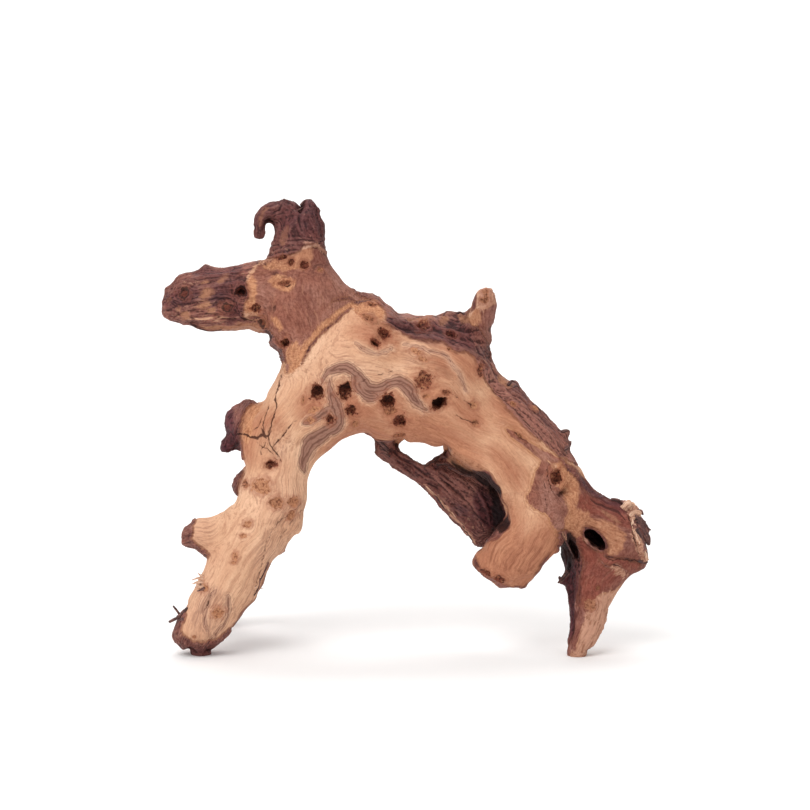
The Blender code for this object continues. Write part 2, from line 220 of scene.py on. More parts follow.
# Warmer, darker light wood, with a soft border; under the arch it also darkens toward the pocket as painted shade
TAN_WOOD = {
    "lobe": [
        (560, 512), (584, 500), (576, 540), (566, 600), (500, 600), (466, 572), (474, 546), (500, 548), (530, 538),
    ],
    "lobe lip": [(478, 542), (495, 537), (507, 529), (513, 532), (505, 545), (490, 550), (478, 554)],
    # Partly painted shade: darker toward the pocket's upper edge
    "under the arch": [
        (396, 414), (424, 414), (446, 424), (466, 444), (482, 466), (474, 472), (452, 462), (420, 456), (398, 446),
    ],
    "over the lobe": [(492, 452), (506, 458), (518, 470), (520, 484), (514, 486), (504, 470)],
    "under the top knots": [(358, 326), (380, 332), (398, 341), (392, 347), (370, 343)],
    "hub": [(244, 428), (262, 416), (277, 419), (262, 427), (252, 440), (251, 460), (243, 452)],
    "below the ridge": [(434, 352), (450, 351), (468, 355), (481, 366), (478, 377), (462, 374), (446, 372), (435, 365)],
    "left knots": [
        (304, 398), (322, 404), (340, 400), (364, 396), (380, 402), (377, 416), (362, 424), (350, 431), (334, 425),
        (318, 420), (304, 412),
    ],
    "middle knots": [(380, 404), (398, 404), (408, 416), (406, 431), (394, 429), (384, 418)],
    "right knots": [(416, 382), (432, 386), (444, 392), (436, 402), (420, 398)],
    "right of the knots": [(448, 400), (462, 402), (480, 412), (482, 428), (466, 424)],
    "beside the pocket": [(504, 500), (514, 516), (522, 538), (516, 556), (498, 552), (506, 536), (512, 526)],
    "arch end": [(318, 430), (340, 434), (362, 420), (380, 426), (396, 440), (352, 444), (318, 452)],
    "shoulder": [(500, 396), (516, 420), (536, 442), (526, 446), (505, 424), (494, 402)],
}
# Light wood that is greyed and shows its grain as dark lines, with a soft border
GRAINED_WOOD = {
    "leg edge": [
        (303, 500), (306, 520), (290, 545), (272, 572), (258, 600), (240, 628), (232, 622), (246, 592), (256, 560),
        (268, 530), (284, 508),
    ],
    "foot": [(196, 600), (206, 588), (222, 590), (224, 606), (222, 630), (206, 640), (196, 634), (192, 616)],
    "shoulder": [(402, 345), (440, 352), (458, 366), (470, 392), (458, 398), (440, 378), (404, 366)],
    "cracked": [(262, 425), (272, 425), (290, 430), (282, 460), (268, 456), (258, 440)],
    "lobe": [(490, 540), (505, 552), (530, 545), (548, 548), (530, 578), (500, 570), (484, 556)],
    "knob flank": [(196, 522), (208, 520), (214, 530), (206, 545), (196, 540)],
}
# Dark wood that is redder and lighter
RUDDY_WOOD = {
    "ridge": [
        (486, 368), (500, 382), (516, 398), (534, 414), (552, 430), (566, 446), (577, 461), (572, 467), (556, 456),
        (540, 447), (524, 434), (508, 416), (494, 398), (484, 380),
    ],
    "ridge top": [(384, 300), (400, 306), (424, 314), (446, 316), (440, 322), (416, 322), (394, 316)],
    "arm": [(200, 260), (230, 259), (258, 255), (252, 265), (228, 269), (204, 271)],
    "tongue": [(428, 474), (450, 477), (474, 485), (486, 499), (478, 514), (462, 503), (444, 490)],
    "knob": [(226, 404), (244, 400), (240, 418), (232, 432), (226, 424)],
    "block": [(578, 494), (604, 502), (626, 514), (632, 530), (618, 524), (602, 516), (582, 510)],
    "fan": [(578, 538), (588, 539), (600, 550), (606, 560), (594, 568), (582, 556)],
    "block low": [(586, 560), (612, 560), (644, 562), (630, 573), (606, 584), (598, 602), (584, 606), (582, 578)],
}
# Dark wood that is darkest, with a soft border
BLEAK_WOOD = {
    "under the spur": [
        (385, 316), (420, 327), (450, 322), (464, 324), (474, 338), (474, 350), (460, 347), (420, 339), (395, 328),
    ],
    "arm": [(222, 312), (234, 302), (242, 306), (244, 320), (230, 322)],
    "arm end": [(164, 297), (178, 290), (196, 284), (199, 291), (194, 302), (178, 308), (164, 306)],
    "arm middle": [(212, 285), (226, 279), (242, 275), (246, 290), (240, 301), (226, 300), (218, 306), (212, 300)],
    "arm knot": [(236, 283), (247, 283), (248, 298), (240, 300)],
    "arm top": [(196, 264), (215, 268), (240, 264), (240, 272), (215, 278), (196, 274)],
    "upper knob": [(216, 410), (228, 406), (233, 420), (237, 436), (239, 452), (228, 462), (215, 462)],
    "shoulder edge": [(580, 478), (592, 484), (606, 494), (622, 500), (626, 512), (604, 502), (588, 492)],
    "foot back": [(558, 560), (576, 560), (578, 580), (572, 640), (562, 640)],
    "left foot": [(178, 650), (192, 650), (216, 648), (212, 660), (178, 660)],
}
# Tan and orange places where the dark wood has worn off, and a brown patch of painted shade over the pocket
WORN_SPOTS = {
    "arm scar": [(199, 296), (203, 289), (210, 287), (216, 290), (215, 295), (210, 299), (202, 301)],
    "arm lower scar": [(197, 305), (202, 302), (210, 301), (212, 306), (207, 310), (199, 309)],
    "arm streak": [(217, 280), (222, 273), (229, 272), (227, 277), (222, 283), (218, 285)],
    "arm underside": [(198, 327), (222, 324), (240, 324), (256, 322), (264, 329), (262, 334), (240, 332), (206, 331)],
    "arm left side": [(180, 315), (186, 311), (191, 314), (188, 319), (182, 319)],
    "arm low flecks": [(174, 309), (178, 306), (181, 309), (178, 312)],
    "arm end flecks": [(166, 300), (169, 296), (172, 299), (169, 304)],
    "arm flecks": [(208, 312), (214, 309), (217, 312), (211, 316)],
    "arm top flecks": [(200, 282), (206, 279), (210, 281), (204, 285)],
    "hook streak": [(258, 220), (259, 211), (266, 206), (271, 207), (264, 213), (262, 224), (259, 227)],
    "crown streak": [(278, 243), (280, 232), (287, 224), (290, 230), (287, 237), (282, 247)],
    "ridge streak": [(440, 318), (446, 315), (449, 322), (443, 327), (438, 324)],
    "ridge crumbs": [(458, 315), (470, 315), (470, 322), (462, 324)],
    "ridge flecks": [(404, 318), (420, 320), (430, 318), (426, 323), (408, 322)],
    "shoulder edge": [(497, 374), (504, 378), (512, 384), (510, 388), (500, 382)],
    # Painted shade: the light wood darkens toward the pocket's upper edge
    "painted shade over the pocket": [
        (445, 446), (452, 448), (464, 456), (478, 462), (491, 471), (480, 472), (468, 471), (457, 468), (448, 459),
    ],
    "knot stain": [(364, 314), (372, 311), (380, 320), (392, 328), (392, 340), (384, 345), (374, 330), (366, 322)],
    "block ridge": [(600, 511), (608, 512), (618, 520), (620, 526), (610, 520)],
}
DARK_TONGUE = [
    (366, 430), (384, 436), (396, 444), (420, 460), (430, 455), (440, 453), (447, 455), (460, 469), (475, 474),
    (488, 478), (499, 493), (506, 511), (511, 524), (505, 534), (495, 541), (480, 544), (476, 556), (460, 532),
    (440, 512), (420, 492), (390, 475), (366, 460),
]
# Grey-brown growth bands that swirl through the light wood: a line on the front view, and half its width
GREY_BANDS = [
    ([(318, 388), (326, 376), (336, 369), (345, 368), (354, 373), (361, 381), (369, 388), (379, 389), (388, 384),
      (399, 382), (408, 388), (414, 400), (420, 408), (432, 412)], 5.4),
    ([(329, 378), (331, 394), (336, 405), (338, 417), (335, 427), (325, 433), (314, 439), (307, 449), (303, 462),
      (304, 474)], 6.0),
    ([(352, 374), (361, 388), (370, 396), (380, 396)], 6.6),
    ([(302, 424), (312, 419), (322, 414), (333, 408)], 3.6),
    ([(404, 345), (425, 348), (445, 356), (458, 370), (466, 390)], 0.5),
    ([(356, 343), (366, 350), (378, 353), (390, 347)], 0.2),
    ([(216, 590), (207, 600), (204, 613), (208, 630)], 0.8),
    ([(228, 596), (228, 612), (222, 626), (210, 640)], 0.8),
]
# Cracks on the front view, and half their width in millimetres
CRACKS = [
    ([(235, 436), (243, 434), (249, 437), (256, 438), (261, 435), (266, 440)], 0.75),
    ([(283, 372), (278, 385), (276, 398), (275, 411), (271, 425), (268, 440), (273, 449), (280, 459), (282, 466)],
     0.4),
    ([(260, 428), (266, 437), (272, 430)], 0.6), ([(266, 440), (262, 448), (259, 456)], 0.35),
    ([(300, 418), (292, 425), (285, 432), (278, 441), (272, 448)], 0.32),
    ([(304, 500), (296, 508), (287, 516), (278, 524), (268, 540), (265, 556), (261, 572), (255, 588), (249, 601)],
     0.13),
    ([(306, 508), (296, 516), (286, 530), (276, 548)], 0.06),
    ([(214, 588), (208, 600), (206, 612)], 0.25), ([(268, 402), (266, 414), (262, 424), (264, 434)], 0.26),
    ([(256, 441), (262, 447), (270, 452), (276, 460)], 0.26), ([(252, 431), (258, 424), (262, 416)], 0.22),
    ([(455, 416), (463, 420), (475, 423)], 0.24),
    ([(450, 394), (460, 399), (468, 402), (475, 409)], 0.2),
    ([(514, 430), (519, 436), (526, 441)], 0.24),
    ([(360, 383), (370, 378), (384, 373), (396, 371)], 0.16),
    ([(303, 397), (303, 404)], 0.3),
    ([(604, 557), (615, 560), (634, 561), (645, 563)], 0.22), ([(612, 564), (620, 569)], 0.3),
    ([(571, 534), (576, 545), (579, 560), (575, 580)], 0.3),
    ([(541, 474), (545, 488), (546, 504), (550, 516)], 0.2), ([(546, 470), (549, 484), (554, 494)], 0.18),
    ([(237, 300), (238, 311), (242, 319), (250, 321), (258, 319)], 0.3),
    ([(281, 284), (287, 285), (293, 282)], 0.3),
    ([(625, 512), (631, 524), (635, 540), (640, 555)], 0.25),
]
# Folds and grooves in the dark wood on the front view: a line, half its width in view steps, and its height in
# millimetres, which is negative for a groove
FOLDS = [
    ([(384, 318), (400, 327), (418, 332), (436, 330), (452, 336), (470, 340), (486, 343)], 2.2, -1.0),
    ([(378, 306), (392, 316), (410, 323), (430, 322), (448, 320), (462, 325), (484, 329)], 2.4, 0.9),
    ([(396, 331), (412, 337), (432, 338), (452, 345), (470, 351), (482, 360)], 2.4, 0.7),
    ([(440, 324), (452, 328), (466, 331), (480, 330)], 1.5, -0.8),
    ([(446, 316), (456, 320), (466, 318)], 1.4, 0.9),
    ([(480, 362), (486, 378), (496, 391), (508, 401), (521, 410)], 1.8, -1.2),
    ([(484, 356), (491, 374), (503, 388), (516, 400), (532, 417)], 2.0, 1.0),
    ([(490, 364), (499, 380), (512, 394), (520, 403)], 1.5, -1.1),
    ([(478, 365), (484, 383), (495, 396), (512, 411), (526, 430), (540, 442)], 1.8, 0.8),
    ([(505, 402), (520, 414), (534, 430), (548, 443), (562, 452)], 1.6, -0.8),
    ([(520, 402), (536, 420), (552, 438), (565, 447)], 1.8, 0.7),
    ([(528, 436), (542, 446), (556, 451), (570, 458)], 1.6, -0.7),
    ([(270, 256), (284, 251), (300, 250)], 1.2, -0.5), ([(270, 251), (286, 246), (303, 246), (318, 249)], 1.1, -0.5),
    ([(271, 246), (286, 242), (300, 240), (320, 243)], 1.1, -0.5), ([(273, 240), (290, 236), (322, 239)], 1.0, -0.35),
    ([(303, 243), (314, 243), (321, 248), (327, 255)], 1.2, 0.9),
    ([(300, 208), (299, 218), (302, 232)], 1.8, -0.9), ([(317, 208), (321, 222), (322, 238)], 2.0, -0.9),
    ([(268, 208), (284, 206), (294, 209)], 1.8, 0.6), ([(272, 220), (279, 226), (282, 240)], 1.6, -0.6),
    ([(165, 302), (182, 291), (200, 283), (228, 280), (244, 275)], 1.8, -0.7),
    ([(170, 290), (190, 279), (215, 274), (244, 270)], 2.2, 0.5),
    ([(166, 312), (180, 305), (197, 303), (214, 299), (232, 298)], 1.4, -0.6),
    ([(172, 318), (188, 312), (206, 314), (222, 318), (240, 321)], 1.6, -0.8),
    ([(186, 320), (205, 320), (225, 323), (248, 322)], 1.2, 0.6),
    ([(231, 284), (234, 296), (235, 310), (240, 318)], 1.4, -0.5),
    ([(233, 434), (238, 420), (246, 408), (256, 400)], 2.4, 0.8), ([(228, 404), (232, 416), (227, 428)], 2.0, -0.8),
    ([(600, 497), (612, 502), (622, 508)], 2.0, 0.8), ([(590, 499), (604, 506), (618, 512), (627, 522)], 1.6, -0.9),
    ([(634, 524), (640, 538), (645, 552), (648, 561)], 1.6, 1.0), ([(638, 516), (645, 530), (646, 548)], 1.6, -1.3),
    ([(564, 530), (568, 542), (574, 556)], 1.2, 1.0), ([(569, 562), (574, 580), (572, 610), (571, 640)], 1.6, -0.9),
    ([(578, 565), (577, 590), (576, 615)], 1.5, 0.7), ([(606, 557), (625, 559), (644, 563)], 1.5, -0.8),
    ([(585, 540), (592, 544), (598, 550)], 1.5, 0.8), ([(590, 524), (600, 530), (609, 540)], 1.6, 0.6),
    ([(380, 446), (400, 458), (425, 474), (448, 492)], 1.6, -0.7),
    ([(385, 443), (405, 455), (428, 468), (450, 474), (466, 482)], 1.8, 0.7),
    ([(378, 453), (400, 467), (424, 482), (444, 501), (462, 524)], 1.6, 0.6),
    ([(440, 478), (458, 492), (474, 512), (484, 532)], 1.5, -0.7),
    ([(456, 476), (472, 486), (484, 502), (490, 524)], 1.6, 0.7),
    ([(428, 489), (442, 503), (456, 520), (472, 538)], 1.4, -0.9),
    ([(296, 507), (284, 517), (273, 532), (268, 552), (262, 578)], 1.5, 0.4),
    ([(290, 516), (279, 531), (272, 550)], 1.2, -0.4),
]
# Where the skin swells or is drawn in along the outline: right, down, how far it reaches, and millimetres
SWELLS = [
    (400, 450, 11, -2.6), (384, 450, 9, -0.6), (205, 266, 4, 2.0), (210, 331, 6, 0.4), (184, 322, 4, 0.8),
    (515, 383, 4, 2.2), (536, 408, 3, 1.6), (568, 432, 4, 2.4), (570, 443, 4, 1.8), (373, 294, 4, 1.4),
    (448, 312, 4, 1.2), (300, 207, 4, -3.4), (308, 201, 5, 1.4), (434, 459, 5, 2.2),
    (497, 347, 9, -4.8), (495, 330, 8, -2.6), (398, 305, 9, -3.8), (646, 515, 7, -3.4), (365, 438, 8, -2.8),
    (491, 587, 7, -2.8), (258, 397, 8, -2.8), (240, 400, 9, -2.0), (275, 354, 8, -3.0), (324, 215, 9, -3.0),
    (441, 450, 6, -3.4), (423, 460, 5, -2.4), (562, 424, 7, -2.4), (575, 448, 7, -2.4), (448, 520, 14, -2.0),
    (188, 519, 6, -2.4), (186, 549, 6, -1.8), (464, 308, 6, -2.4), (567, 623, 13, -1.6), (222, 264, 11, -2.2),
    (194, 268, 8, -1.6), (170, 282, 8, -1.6), (236, 452, 6, -2.2), (611, 611, 10, -2.2), (347, 280, 10, -2.3),
    (591, 654, 6, -1.8), (269, 225, 5, -1.8), (296, 537, 6, -2.0), (384, 300, 6, -1.8), (274, 562, 8, -1.2),
    (253, 228, 4, -1.4), (189, 655, 6, -2.0), (539, 402, 12, -1.4), (416, 456, 6, -2.8), (399, 447, 6, -2.8),
    (443, 455, 5, -2.0), (556, 575, 5, -3.0), (493, 356, 6, -2.0), (650, 524, 5, -2.0), (445, 308, 5, -2.4),
    (579, 461, 6, -2.0), (498, 299, 4, -1.6), (267, 337, 5, -2.0), (212, 654, 7, -1.8), (161, 294, 6, -1.8),
    (194, 551, 5, -1.8), (237, 450, 6, -1.8), (279, 362, 5, -1.6), (184, 605, 6, -1.6), (268, 222, 4, -1.6),
    (300, 207, 3, -2.4), (373, 451, 5, -1.6), (390, 466, 5, -1.2), (258, 235, 4, -1.0), (499, 590, 5, -1.4),
    (519, 590, 5, -1.6), (320, 203, 4, -1.4), (426, 461, 4, -2.0), (188, 654, 5, -2.0), (591, 656, 5, -2.0),
    (468, 541, 5, -1.6), (403, 311, 6, -2.2), (567, 428, 5, -2.0), (238, 469, 5, -1.8), (238, 320, 4, 0.6),
    (196, 576, 8, 2.4), (475, 547, 6, 3.0), (231, 490, 9, 3.0), (507, 376, 7, 3.0), (559, 583, 5, 2.6),
    (559, 553, 6, 0.8), (229, 331, 10, 1.9), (257, 332, 7, 1.6), (430, 315, 11, 2.4), (323, 454, 12, 2.2),
    (306, 500, 14, 1.7), (332, 446, 8, 0.8), (165, 316, 9, 2.2), (220, 451, 5, 2.0), (390, 466, 11, 2.2),
    (410, 478, 8, 1.4), (375, 452, 6, 2.0), (255, 261, 8, 2.0), (265, 234, 4, 1.8), (638, 571, 7, 1.8),
    (252, 600, 10, 1.6), (172, 637, 8, 1.8), (277, 374, 7, 1.6), (561, 493, 6, 3.4), (446, 452, 5, -2.0),
    (301, 203, 3.5, -2.5),
    (497, 291, 5, -1.6), (270, 224, 5, -1.2), (236, 402, 6, -1.6), (563, 572, 5, -1.4), (552, 418, 6, -1.4),
    (223, 434, 5, -1.4), (184, 524, 5, -1.4), (434, 503, 5, -1.2), (277, 199, 6, -1.2),
    (457, 530, 7, -1.6), (558, 578, 4, -1.4), (571, 440, 4, -1.4), (642, 511, 4, -1.6), (623, 499, 4, -1.2),
    (192, 656, 5, -2.8), (203, 264, 4, -1.0), (233, 263, 6, -1.0), (191, 327, 6, -1.2), (210, 655, 5, -2.0),
    (264, 586, 8, 2.4), (256, 598, 7, 1.6), (240, 451, 6, 2.0), (559, 553, 5, 1.6), (260, 238, 6, 1.6),
    (239, 331, 6, 1.4), (565, 588, 6, 1.6), (222, 643, 7, 1.8), (203, 564, 6, 1.6), (182, 545, 5, 1.6),
    (503, 372, 5, 1.6), (381, 298, 5, 1.6), (284, 551, 6, 1.4), (229, 506, 5, 1.4), (533, 580, 5, 1.4),
]
# The same for the pocket's front rim and for the lobe's edge, which leaves what lies behind them as it is
RIM_SWELLS = [
    (484, 480, 7, -2.2), (496, 492, 7, -2.8), (505, 508, 7, -2.8), (504, 522, 7, -3.0), (494, 534, 6, -2.6),
    (481, 546, 5, -2.0), (545, 566, 6, -1.0), (530, 586, 5, -1.0),
]

# Knot holes: right, down, half width, half height on the front view, turn in degrees, depth in millimetres
Knot = namedtuple("Knot", "right down half_width half_height turn depth")
FRONT_KNOTS = [Knot(*row) for row in (
    (317, 392, 6.5, 7.5, 0, 6.0), (345, 390, 6.5, 8, -25, 6.5), (351, 410, 5.5, 5.5, 0, 6.0),
    (330, 420, 4, 4.5, 0, 4.0), (355, 424, 3, 3, 0, 1.4), (388, 401, 7, 7, 0, 6.5),
    (390, 411, 6, 4.5, 0, 2.2), (400, 421, 6, 6.5, 10, 4.2), (399, 437, 5.5, 3, 25, 2.4),
    (424, 381, 7.5, 8.5, -15, 3.0), (427, 396, 3.5, 2.5, 0, 1.5), (439, 403, 8.5, 5.2, 35, 8.0),
    (446, 393, 4.2, 3.2, 0, 2.6), (376, 343, 5.6, 3.6, -35, 6.4), (384, 333, 7.2, 5.4, -40, 4.6),
    (372, 304, 4, 2.6, -20, 2.8), (369, 318, 6, 2.6, -30, 2.0), (283, 257, 4.6, 2.4, 0, 3.8),
    (304, 265, 4.2, 3.8, 0, 3.8), (284, 283, 6, 2.8, 5, 2.9), (291, 262, 3, 3, -30, 3.0),
    (256, 309, 4.4, 4.4, 0, 3.8), (320, 270, 2.6, 2, 0, 1.4), (263, 323, 3.5, 4, 0, 2.0),
    (285, 343, 5, 3.8, 25, 5.0),
    (271, 464, 5.6, 4, 0, 5.0), (261, 487, 8.5, 7, 0, 0.9), (245, 484, 4, 4, 0, 2.2),
    (276, 503, 6.5, 5.5, 0, 1.6), (293, 502, 4.5, 4.5, 0, 1.6), (291, 515, 3, 4.6, -20, 1.4),
    (218, 613, 5, 5, 0, 0.7), (194, 637, 1.6, 1.6, 0, 1.2), (556, 477, 5.4, 7.8, 12, 4.2),
    (475, 423, 3.2, 3, 0, 2.0), (474, 405, 4, 4, 0, 1.2), (520, 436, 4.5, 2, -40, 1.8),
    (241, 291, 5.5, 5.5, 0, 7.0), (184, 293, 4.6, 5, 0, 1.6), (227, 308, 4.6, 4.6, 0, 1.3),
    (452, 334, 5, 3, -20, 5.5), (423, 326, 6, 5, 0, 3.4), (449, 349, 1.6, 1.6, 0, 1.6),
    (303, 401, 1.6, 4, 0, 1.5), (499, 580, 6, 3.4, -20, 4.0), (486, 573, 5, 3, -30, 3.4),
    (598, 588, 1.6, 2, 0, 1.2), (480, 370, 2.6, 5.5, 0, 3.0), (513, 404, 4, 1.6, -35, 1.4),
    (535, 408, 3.4, 1.8, -35, 1.6), (233, 563, 2.5, 1.5, 0, 0.6), (485, 300, 4, 4, 0, 1.2),
    (416, 351, 6, 2.4, -15, 0.5), (423, 359, 5, 2.2, -10, 0.5), (247, 524, 5, 3, 20, 0.5),
    (235, 556, 3, 4, 0, 0.4), (243, 536, 3.4, 2.4, 0, 0.4), (204, 588, 4, 3.4, 0, 0.8),
    (310, 420, 4, 3, 0, 0.7), (314, 410, 5, 3, 20, 0.7), (590, 605, 6, 5, 0, 0.5),
    (459, 462, 2, 1.4, -30, 0.9), (486, 292, 3.4, 3, 0, 0.9),
)]
# Knot holes on the back: across, height, half width, half height in millimetres, turn, depth
BACK_KNOTS = [Knot(*row) for row in (
    (-30, 178, 5.2, 5, 0, 5.0), (-52, 196, 5.5, 4.4, 20, 4.5), (42, 168, 5.5, 4.4, -30, 4.5),
    (60, 150, 4.8, 4.6, 0, 4.0), (-76, 228, 4.5, 4.4, 0, 3.5), (92, 104, 5, 4, -40, 4.0),
    (-112, 232, 4, 4, 0, 3.0), (-12, 205, 4, 3.4, 15, 3.0), (-18, 160, 3.4, 3.4, 0, 2.5),
    (-70, 180, 4.4, 3.6, 40, 3.0), (78, 128, 3.4, 3, 0, 2.5), (-92, 118, 4, 4.4, 0, 3.0),
    (-66, 270, 3, 3, 0, 2.0), (134, 84, 4, 4.4, 20, 3.5), (-118, 46, 4, 4.4, 0, 2.5),
)]
# Places painted near-black, partly as dark rot and partly as painted shade, so that they show no grain
BLACK_ROT_AND_SHADE = {
    "pocket": [
        (447, 456), (459, 465), (471, 470), (482, 471), (490, 476), (496, 485), (499, 497), (503, 509), (507, 521),
        (507, 529), (501, 533), (495, 531), (491, 516), (492, 500), (486, 486), (470, 477), (458, 473),
    ],
    "beside the foot": [
        (553, 550), (558, 541), (562, 531), (572, 531), (575, 540), (576, 550), (573, 560), (571, 572), (566, 574),
        (565, 562), (560, 556),
    ],
}
# Dark brown lines along edges, and half their width
DARK_LINES = [
    ([(473, 556), (477, 568), (488, 579), (500, 587), (512, 589)], 2.2), ([(474, 292), (473, 302), (470, 310)], 1.6),
    ([(271, 333), (272, 345), (280, 354), (283, 361)], 2.4), ([(189, 326), (200, 331), (213, 332)], 1.8),
    ([(512, 588), (526, 588), (540, 572), (551, 553)], 1.4), ([(612, 565), (620, 568), (628, 573)], 0.9),
    ([(571, 535), (580, 560), (577, 590), (574, 612)], 1.5), ([(560, 458), (576, 474), (590, 492), (606, 498)], 2.4),
    ([(604, 556), (618, 558), (634, 561), (646, 563)], 0.7), ([(480, 360), (480, 370), (484, 376)], 1.6),
    ([(273, 566), (263, 583), (253, 600), (239, 620), (225, 638)], 1.1),
    ([(600, 560), (608, 566), (622, 572)], 0.7), ([(583, 538), (592, 545), (600, 552)], 0.8),
    ([(630, 514), (636, 526), (642, 541), (649, 556)], 1.2), ([(246, 322), (262, 324), (268, 332)], 1.2),
    ([(353, 303), (364, 301), (374, 298)], 1.2),
    ([(352, 308), (344, 314), (331, 325), (316, 339), (308, 351), (301, 364)], 0.8),
    ([(330, 302), (344, 298), (356, 300)], 0.8), ([(248, 318), (262, 318), (268, 328)], 1.6),
]
# Paler lines along ledges, and half their width
PALE_LINES = [
    ([(247, 283), (249, 275), (254, 269), (261, 264), (270, 259)], 0.9),
    ([(302, 243), (312, 243), (320, 248), (327, 255)], 1.0),
    ([(189, 320), (210, 319), (238, 318)], 0.7),
    ([(563, 532), (568, 543), (574, 556)], 0.8),
    ([(424, 484), (438, 499), (452, 517), (466, 532), (476, 543)], 1.6),
    ([(583, 538), (591, 543), (599, 549)], 0.9),
    ([(575, 600), (576, 612)], 1.0),
]
# Splinters, spikes and twigs: the line each follows on the front view from its root, its radius there in
# millimetres, and how much of that is left at its tip
SPLINTERS = {
    "torn_end_pale_splinters": [
        ([(623, 509), (627, 504), (631, 503)], 3.0, 0.8), ([(629, 509), (632, 504), (635, 506)], 1.8, 0.5),
        ([(630, 517), (636, 513), (641, 514)], 2.5, 0.6), ([(633, 519), (638, 518), (641, 516)], 1.6, 0.4),
        ([(631, 518), (634, 530), (639, 542), (645, 552), (647, 561)], 1.5, 0.4),
        ([(634, 524), (638, 535), (643, 546)], 1.1, 0.3), ([(641, 546), (645, 553), (648, 560)], 1.5, 0.5),
    ],
    "torn_end_dark_splinters": [
        ([(634, 517), (642, 522), (647, 528), (651, 530)], 2.6, 0.15),
        ([(637, 520), (643, 530), (648, 538), (649, 545)], 2.6, 0.4),
        ([(637, 528), (642, 538), (646, 548), (647, 553)], 1.8, 0.3),
        ([(636, 512), (641, 511), (643, 515)], 1.3, 0.4), ([(622, 504), (628, 512), (632, 522)], 1.4, 0.4),
        ([(611, 500), (618, 500), (623, 504)], 1.2, 0.4), ([(638, 560), (644, 563), (648, 562)], 1.5, 0.3),
    ],
    "ridge_dark_splinters": [
        ([(508, 386), (512, 381), (516, 383)], 1.5, 0.2), ([(512, 388), (517, 386), (520, 390)], 1.3, 0.3),
        ([(532, 404), (537, 407), (541, 411)], 1.2, 0.4), ([(562, 433), (567, 431), (570, 432)], 1.5, 0.25),
        ([(564, 450), (569, 446), (571, 441)], 1.6, 0.3), ([(565, 440), (568, 443), (569, 450)], 1.3, 0.5),
        ([(444, 316), (447, 312), (450, 313)], 1.2, 0.4), ([(456, 314), (460, 312), (466, 315)], 1.0, 0.4),
    ],
    "foot_hook_dark_splinters": [
        ([(570, 572), (564, 579), (558, 583)], 2.4, 0.25), ([(565, 540), (569, 548), (574, 558)], 0.7, 0.3),
    ],
    "twig_dark_splinters": [
        ([(188, 608), (183, 613), (177, 617)], 1.6, 0.7), ([(180, 615), (177, 611), (173, 606)], 0.9, 0.7),
        ([(181, 616), (175, 619), (169, 622)], 1.1, 0.8), ([(184, 619), (180, 620), (177, 624)], 1.2, 0.3),
    ],
    "leg_tufts_pale_splinters": [
        ([(204, 579), (198, 578), (192, 580)], 1.1, 0.3), ([(204, 582), (198, 582), (192, 584)], 1.2, 0.2),
        ([(204, 586), (199, 586), (195, 588)], 1.3, 0.3), ([(204, 577), (200, 575), (198, 573)], 0.9, 0.3),
        ([(254, 588), (259, 588), (264, 589)], 0.45, 0.3), ([(254, 588), (258, 586), (261, 583)], 0.4, 0.3),
    ],
    "leg_tufts_dark_splinters": [
        ([(205, 588), (201, 590), (197, 591)], 1.1, 0.3), ([(203, 580), (201, 583), (202, 588)], 0.9, 0.4),
        ([(268, 562), (264, 572), (259, 582)], 1.0, 0.4), ([(260, 578), (257, 590), (249, 602)], 1.1, 0.3),
    ],
    "tongue_pale_splinters": [
        ([(426, 486), (434, 494), (441, 502)], 0.7, 0.3), ([(440, 500), (447, 508), (453, 516)], 0.8, 0.3),
        ([(452, 512), (458, 520), (464, 527)], 0.6, 0.3),
    ],
    "tongue_dark_splinters": [
        ([(388, 449), (381, 442), (375, 437)], 2.0, 0.5), ([(388, 453), (381, 449), (376, 449)], 1.8, 0.5),
        ([(390, 457), (383, 453), (378, 454)], 1.4, 0.3), ([(424, 468), (431, 462), (438, 459)], 1.7, 0.5),
        ([(432, 463), (440, 457), (447, 458)], 1.8, 0.5), ([(436, 465), (446, 464), (456, 469)], 1.8, 0.5),
        ([(448, 466), (462, 474), (474, 477)], 1.3, 0.4), ([(434, 494), (444, 508), (451, 518)], 0.6, 0.3),
        ([(463, 525), (471, 538), (478, 547)], 0.9, 0.3),
    ],
    "arm_edge_dark_splinters": [
        ([(190, 323), (199, 328), (212, 331), (222, 329)], 1.1, 0.3),
        ([(202, 268), (206, 266), (210, 268)], 1.1, 0.4),
    ],
    "crown_notch_dark_splinters": [
        ([(294, 211), (299, 210), (304, 207)], 0.9, 0.4), ([(301, 206), (305, 201), (310, 200)], 1.4, 0.4),
    ],
}
SPLINTER_SIDES = 9
# Where the wood behind a splinter falls back by more millimetres than this, the splinter keeps its depth
SPLINTER_JUMP = 7

# Hollows (across, depth, height), radii and turn about the depth axis: the pocket, its lower end, the slot, the
# shadow beside the lobe and a rot hole in the back
HOLLOWS = [
    ((56, 9, 98), (27, 9.5, 16), -52), ((70, 8, 82), (12, 8, 10), -40), ((123.5, -4, 78), (9, 13, 4.8), -45),
    ((110, 2, 72), (3, 9, 9), 20), ((10, 47, 165), (10, 9, 7), 15),
]

# The narrow gap over the tongue's tip, which is opened a little or the skin would close it: its middle, its reach,
# and how far it moves each side
GAP = np.array([-5.0, 16.0, 137.0])
GAP_REACH = 15.0
GAP_MOVES = {"right_root": -1.9, "arch_trunk": 0.7}

# The skin, in millimetres
SAW_CLOSING = 0.4
SKIN_VOXEL = 1.9
EASE_SHARES = (0.6, -0.62)
EASE_PASSES = 14
# In the last passes of easing, the hollows are opened again
OPENING_PASSES = 4
LIMB_BLEND = 7.0
# How far outside a hollow's drawn wall the skin stays, and how much further its wall is dark, in radii
HOLLOW_SHARE = 1.12
HOLLOW_RIM = 0.07
